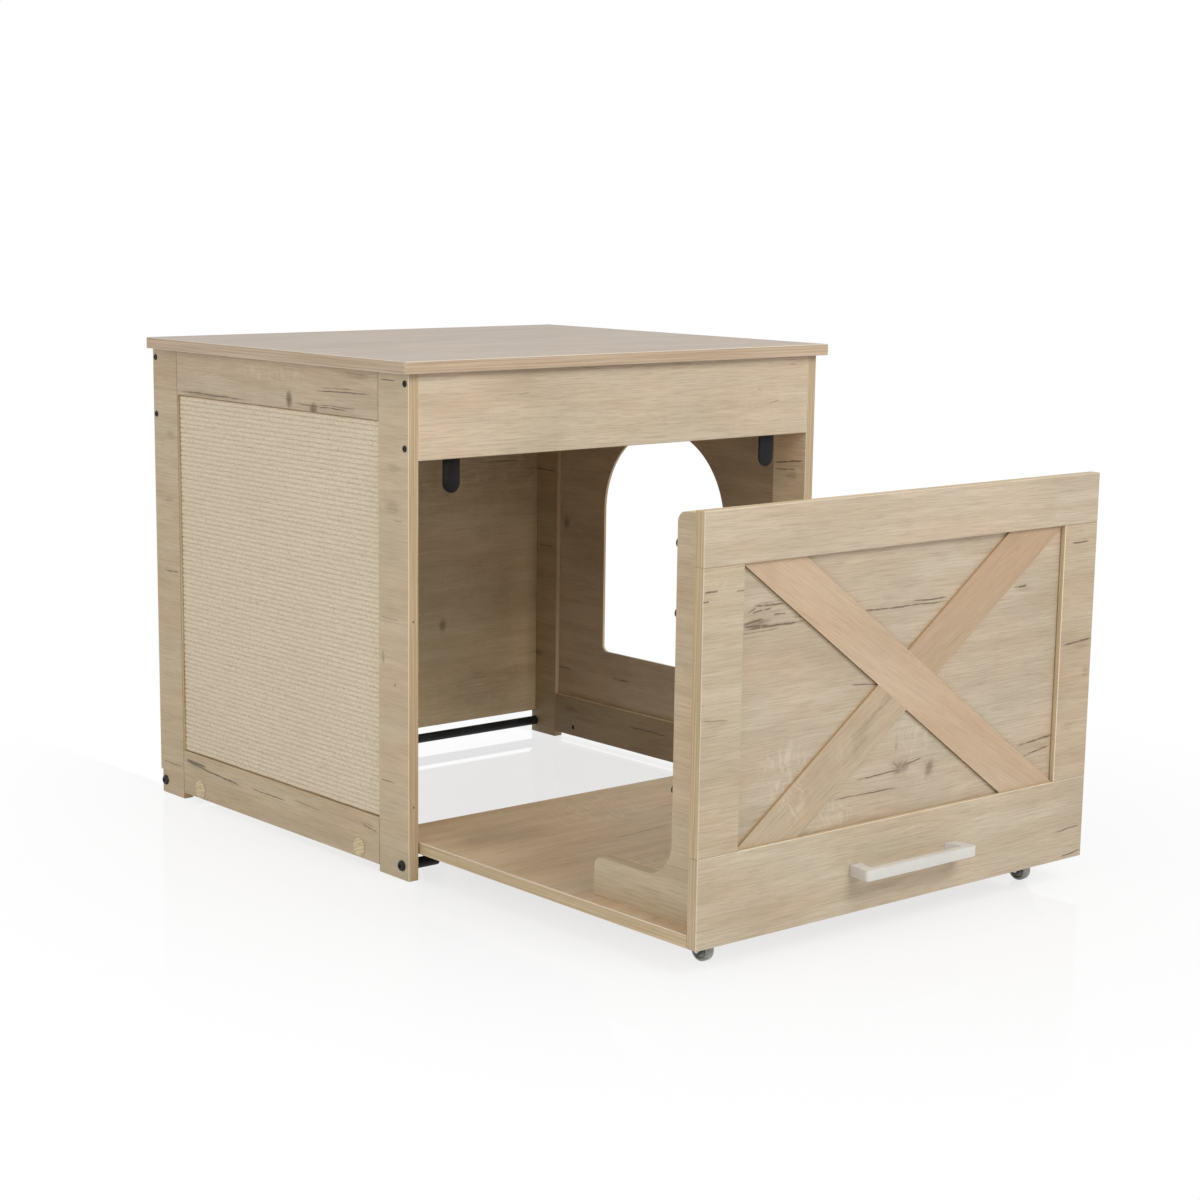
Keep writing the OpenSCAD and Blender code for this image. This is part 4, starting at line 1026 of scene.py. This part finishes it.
@dataclass
class Cabinet:
    """The standing cabinet: two framed sides, apron, back, top and floor bars.

    Attributes:
        finishes: the shared finishes.
        pad_ribs: how many cords lie on the scratching pad.
        pad_wobble: how far a cord strays, in metres.
        pad_flatness: the cord's thickness as a share of its height.
        pad_waves: turns a metre, shift from cord to cord and size of each wave that a cord strays by.
        backing_step: how far the backing lies behind the pad's outer face.
        hole_y: places of the spare holes along Y.
        hole_z: their height.
    """

    finishes: Finishes
    pad_ribs: int = 79
    pad_wobble: float = 0.00022
    pad_flatness: float = 0.48
    pad_waves: tuple[Point, ...] = ((61, 2.4, 1.0), (173, 5.1, 0.6), (331, 1.7, 0.5))
    backing_step: float = 0.0014
    hole_y: tuple[float, float] = (0.085 - 0.0255, 0.476 - 0.085 - 0.0255)
    hole_z: float = 0.0175

    def build(self) -> None:
        """Builds and dresses every piece of the cabinet."""
        dress_boards(CABINET_FOILS, "case_dowels", self.finishes.beech)
        self._dress_metal()
        self._scratch_pad()
        self._covers()
        self._screw_heads()

    def _dress_metal(self) -> None:
        """Rounds the stop plates, and dresses them, the floor bars and the stop screws."""
        for node in ("left_stop_plate", "right_stop_plate"):
            plate = Bench.copy_node(node + "_made", node)
            Bench.round_off(plate, 0.0004, 2)
            Bench.dress(plate, self.finishes.black)
            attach(plate, "cabinet")
            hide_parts(node)
        for node in ("back_bar", "front_left_peg", "front_right_peg", "stop_screws"):
            Bench.dress(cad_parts[node], self.finishes.black)
        log.info("floor bars and stop plates dressed")

    def _scratch_pad(self) -> None:
        """Lays round cords side by side on a thin backing."""
        low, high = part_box("scratch_pad")
        outer, inner = low[0], high[0]
        backing = Bench.block("pad_backing", (outer + self.backing_step, low[1], low[2]),
                              (inner, high[1], high[2]))
        Bench.round_off(backing, 0.0003, 2)
        pitch = (high[2] - low[2]) / self.pad_ribs
        radius = pitch / 2
        length = high[1] - low[1]
        middle = (outer + radius * 0.50, (low[1] + high[1]) / 2, low[2] + radius)
        cord = Bench.rod("pad_cord", middle, Y, radius, length, 10)
        self._subdivide_along(cord, length, 72)
        for vertex in cord.data.vertices:
            vertex.co.x = middle[0] + (vertex.co.x - middle[0]) * self.pad_flatness
        cords = []
        for i in range(self.pad_ribs):
            copy = Bench.twin(cord, (0, 0, i * pitch))
            for vertex in copy.data.vertices:
                place = vertex.co.y
                swing = sum(math.sin(place * rate + i * shift) * size for rate, shift, size in self.pad_waves)
                vertex.co.z += swing * self.pad_wobble
                vertex.co.x += math.sin(place * 97 + i * 3.3) * self.pad_wobble * 0.6 + self.pad_wobble * 0.6
            cords.append(copy)
        bpy.data.objects.remove(cord)
        pad = Bench.join("scratch_pad_cords", [backing] + cords)
        Bench.pick(pad)
        bpy.ops.object.shade_smooth_by_angle(angle=math.radians(60))
        Bench.dress(pad, self.finishes.sisal)
        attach(pad, "cabinet")
        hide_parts("scratch_pad")
        log.info("scratching pad laid with %d cords", self.pad_ribs)

    @staticmethod
    def _subdivide_along(piece: bpy.types.Object, length: float, cuts: int) -> None:
        """Cuts a rod that lies along Y into short rings.

        Args:
            piece: the rod.
            length: its length.
            cuts: how many cuts it gets.
        """
        Bench.pick(piece)
        start = min(v.co.y for v in piece.data.vertices)
        for i in range(1, cuts):
            bpy.ops.object.mode_set(mode="EDIT")
            bpy.ops.mesh.select_all(action="SELECT")
            bpy.ops.mesh.bisect(plane_co=(0, start + length * i / cuts, 0), plane_no=(0, 1, 0))
            bpy.ops.object.mode_set(mode="OBJECT")

    def _covers(self) -> None:
        """Sticks a thin round cover over each spare hole and sets a plug in the hole, dark with painted shade
        where it looks inward.
        """
        made = []
        for side in (-1, 1):
            for place in self.hole_y:
                cover = Bench.rod("cover", (side * 0.27525, place, self.hole_z), X, 0.010, 0.0005, 48)
                Bench.press_in(cover, Vector((side, 0, 0)), 0.0011, 0.00012)
                Bench.round_off(cover, 0.00012, 2)
                plug = Bench.rod("plug", (side * 0.2697, place, self.hole_z), X, 0.0032, 0.011)
                made += [cover, plug]
        covers = Bench.join("hole_covers_made", made)
        Bench.dress(covers, self.finishes.cover)
        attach(covers, "cabinet")
        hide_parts("hole_covers")
        log.info("hole covers stuck on")

    def _screw_heads(self) -> None:
        """Rounds the heads of the case screws and bar bolts."""
        for node, width in (("case_screws", 0.0002), ("bar_bolts", 0.0004)):
            heads = Bench.copy_node(node + "_made", node)
            Bench.round_off(heads, width, 2, 35)
            Bench.dress(heads, self.finishes.screw_black)
            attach(heads, "cabinet")
            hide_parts(node)
        log.info("case screws and bar bolts finished")


@dataclass
class Drawer:
    """The litter drawer: framed front with crossed strips, tray, brackets and handle.

    Attributes:
        finishes: the shared finishes.
        bolt_drops: how far each bracket bolt lies below the drawer front's top.
        cad_head: radius and height of a bracket bolt's head in the solid, in metres.
        head_radius: the made head's radius.
        head_height: the made head's height.
        socket_radius: radius of the hexagon socket in it, over the corners.
    """

    finishes: Finishes
    bolt_drops: tuple[float, float, float] = (0.0345, 0.096, 0.253)
    cad_head: tuple[float, float] = (0.004, 0.003)
    head_radius: float = 0.0046
    head_height: float = 0.0042
    socket_radius: float = 0.0022

    def build(self) -> None:
        """Builds and dresses every piece of the drawer."""
        dress_boards(DRAWER_FOILS, "drawer_dowels", self.finishes.beech)
        self._handle()
        self._fasteners()

    def _handle(self) -> None:
        """Rounds the white bow handle."""
        bow = Bench.copy_node("handle_bow", "handle")
        Bench.round_off(bow, 0.0009, 3, 25)
        Bench.dress(bow, self.finishes.white)
        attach(bow, "drawer")
        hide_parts("handle")
        log.info("handle rounded")

    def _fasteners(self) -> None:
        """Dresses the drawer's screws and rounds the bracket bolts."""
        shanks = Bench.copy_node("bracket_bolts_made", "bracket_bolts")
        low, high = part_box("bracket_bolts")
        seat = high[1] - self.cad_head[1]
        reach = (high[0] - low[0]) / 2 - self.cad_head[0]
        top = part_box("drawer_top_rail")[1][2]
        heads = []
        for side in (-1, 1):
            for drop in self.bolt_drops:
                middle = (side * reach, seat + self.head_height / 2, top - drop)
                head = Bench.rod("bolt_head", middle, Y, self.head_radius, self.head_height)
                Bench.round_off(head, 0.0011, 3, 35)
                heads.append(self._socket(head))
        bolts = Bench.join("bracket_bolts_made", [shanks] + heads)
        Bench.dress(bolts, self.finishes.screw_black)
        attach(bolts, "drawer")
        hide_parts("bracket_bolts")
        for node in ("tray_screws", "handle_screws", "caster_screws"):
            Bench.dress(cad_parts[node], self.finishes.zinc)
        log.info("drawer fasteners dressed")

    def _socket(self, head: bpy.types.Object) -> bpy.types.Object:
        """Sinks a hexagon socket in the rear of a bolt's head.

        Args:
            head: the head, with its axis along Y.

        Returns:
            The same head.
        """
        box = [Vector(corner) for corner in head.bound_box]
        middle = sum(box, Vector()) / 8
        place = (middle.x, middle.y + self.head_height / 2, middle.z)
        key = Bench.rod("hex_key", place, Y, self.socket_radius, self.head_height * 1.2, 6)
        cut = Bench.modify(head, "BOOLEAN", operation="DIFFERENCE", object=key, solver="EXACT")
        bpy.data.objects.remove(key)
        return cut


@dataclass
class Caster:
    """One swivelling caster: plate, fork, wheel and axle."""

    finishes: Finishes
    place: str

    def build(self) -> None:
        """Dresses the caster's pieces and shades the wheel smooth."""
        Bench.dress(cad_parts[self.place + "_plate"], self.finishes.zinc)
        Bench.dress(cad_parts[self.place + "_axle"], self.finishes.zinc)
        Bench.dress(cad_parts[self.place + "_fork"], self.finishes.fork)
        wheel = Bench.copy_node(self.place + "_wheel_made", self.place + "_wheel")
        Bench.pick(wheel)
        bpy.ops.object.shade_smooth_by_angle(angle=math.radians(35))
        Bench.dress(wheel, self.finishes.smoke)
        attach(wheel, self.place + "_roller")
        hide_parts(self.place + "_wheel")
        log.info("%s caster finished", self.place)


@dataclass
class Studio:
    """White floor, soft lamps and the camera.

    Attributes:
        eye: the camera's place in metres.
        yaw: its turn from +Y, in degrees.
        pitch: its tilt below the horizon.
        roll: its turn about the line of sight.
        focal: its focal length in picture heights.
        shift: its shift in picture heights.
        sensor: its sensor's width in millimetres.
        ambient: strength of the even light from all round.
        floor_glow: how much of the floor shines white by itself, then how much more far away and inside.
        floor_gloss: how much of the floor inside the cabinet is a mirror.
    """

    eye: Point = (-1.6371, -1.8922, 0.6623)
    yaw: float = -39.279
    pitch: float = 10.740
    roll: float = 0.536
    focal: float = 2420.5 / 1200
    shift: tuple[float, float] = (0.05, 0.05)
    sensor: float = 36.0
    ambient: float = 0.52
    floor_glow: Point = (0.72, 0.28, 0.18)
    floor_gloss: float = 0.18

    def build(self) -> None:
        """Sets the camera, the lamps, the world and the floor."""
        self._camera()
        self._lamps()
        self._world()
        self._floor()
        log.info("studio set")

    def _camera(self) -> None:
        """Places the camera at the photograph's angle."""
        data = bpy.data.cameras.new("camera")
        data.sensor_width = self.sensor
        data.lens = self.focal * self.sensor
        data.shift_x, data.shift_y = self.shift
        camera = bpy.data.objects.new("camera", data)
        bpy.context.scene.collection.objects.link(camera)
        camera.location = self.eye
        turn = (Matrix.Rotation(math.radians(self.yaw), 3, "Z")
                @ Matrix.Rotation(math.radians(90 - self.pitch), 3, "X")
                @ Matrix.Rotation(math.radians(self.roll), 3, "Z"))
        camera.rotation_euler = turn.to_euler()
        bpy.context.scene.camera = camera

    def _lamps(self) -> None:
        """Adds a large soft key and a weak fill."""
        self._area("key", (0.1, -3.1, 2.95), (0, -0.1, 0.25), 1.9, 82.0)
        self._area("fill", (-3.2, -0.8, 1.8), (0, 0, 0.25), 2.4, 20.0)

    @staticmethod
    def _area(name: str, place: Point, target: Point, size: float, power: float) -> None:
        """Adds one square lamp.

        Args:
            name: the lamp's name.
            place: where it stands.
            target: what it faces.
            size: its side in metres.
            power: its power in watts.
        """
        data = bpy.data.lights.new(name, "AREA")
        data.energy, data.size = power, size
        lamp = bpy.data.objects.new(name, data)
        bpy.context.scene.collection.objects.link(lamp)
        lamp.location = place
        lamp.rotation_euler = (Vector(target) - Vector(place)).to_track_quat("-Z", "Y").to_euler()

    def _world(self) -> None:
        """Lights evenly, and shows as white where the camera, a gloss or clear matter sees it."""
        world = bpy.data.worlds.new("studio")
        bpy.context.scene.world = world
        world.use_nodes = True
        tree = world.node_tree
        tree.nodes.clear()
        path, mix, output = (tree.nodes.new("ShaderNode" + kind) for kind in
                             ("LightPath", "MixShader", "OutputWorld"))
        seen = path.outputs["Is Camera Ray"]
        for ray in ("Is Transmission Ray", "Is Glossy Ray"):
            either = tree.nodes.new("ShaderNodeMath")
            either.operation, either.use_clamp = "ADD", True
            tree.links.new(seen, either.inputs[0])
            tree.links.new(path.outputs[ray], either.inputs[1])
            seen = either.outputs[0]
        tree.links.new(seen, mix.inputs[0])
        for socket, strength in ((mix.inputs[1], self.ambient), (mix.inputs[2], 1.0)):
            light = tree.nodes.new("ShaderNodeBackground")
            light.inputs["Strength"].default_value = strength
            light.inputs["Color"].default_value = (1.0, 1.0, 1.0, 1.0)
            tree.links.new(light.outputs[0], socket)
        tree.links.new(mix.outputs[0], output.inputs[0])

    def _floor(self) -> None:
        """Lays a white floor that keeps the shadow, fades to white and mirrors more inside the cabinet."""
        Bench.clear()
        bpy.ops.mesh.primitive_plane_add(size=30, location=(0, 0, -0.0002))
        floor = Bench.settle(bpy.context.object)
        floor.name = "floor"
        r = Recipe("white_floor")
        x, y, _ = r.split(r.place)
        away = (((x - 0.10) * 1.15) ** 2 + y ** 2) ** 0.5
        fade = away.ramp(0.30, 1.00)
        inside = (0.262 - abs(x)).ramp(0.0, 0.01) * (y + 0.06).ramp(0.0, 0.05)
        r.feed(r.shader.inputs["Base Color"], (0.90, 0.90, 0.90))
        r.feed(r.shader.inputs["Roughness"], 0.012)
        r.feed(r.shader.inputs["Specular IOR Level"], 0.50)
        light, mirror, clear = (r.node("ShaderNodeLightPath", {}, {}, f"Is {ray} Ray") for ray in
                                ("Camera", "Glossy", "Transmission"))
        glow = r.node("ShaderNodeEmission", {}, {"Color": (1.0, 1.0, 1.0), "Strength": 1.0})
        seen = (light + mirror + clear).held()
        near, far, within = self.floor_glow
        share = (near + fade * far + inside * within).held()
        body = Wire(r, r.shader.outputs[0])
        mixed = r.node("ShaderNodeMixShader", {}, {0: share * seen, 1: body, 2: glow})
        gloss = r.node("ShaderNodeBsdfGlossy", {}, {"Color": (1.0, 1.0, 1.0), "Roughness": 0.03})
        mixed = r.node("ShaderNodeMixShader", {}, {0: inside * light * self.floor_gloss, 1: mixed, 2: gloss})
        output = [n for n in r.tree.nodes if n.type == "OUTPUT_MATERIAL"][0]
        r.feed(output.inputs[0], mixed)
        Bench.dress(floor, r.material)


def main() -> None:
    """Builds the cat house and its studio in order."""
    logging.basicConfig(level=logging.INFO, format="%(name)s: %(message)s")
    scene = bpy.context.scene
    scene.view_settings.view_transform = "Standard"
    Studio().build()
    finishes = Finishes()
    Cabinet(finishes).build()
    Drawer(finishes).build()
    for place in ("front_left", "front_right", "rear_left", "rear_right"):
        Caster(finishes, place).build()
    log.info("sizes written")


if __name__ == "__main__":
    main()
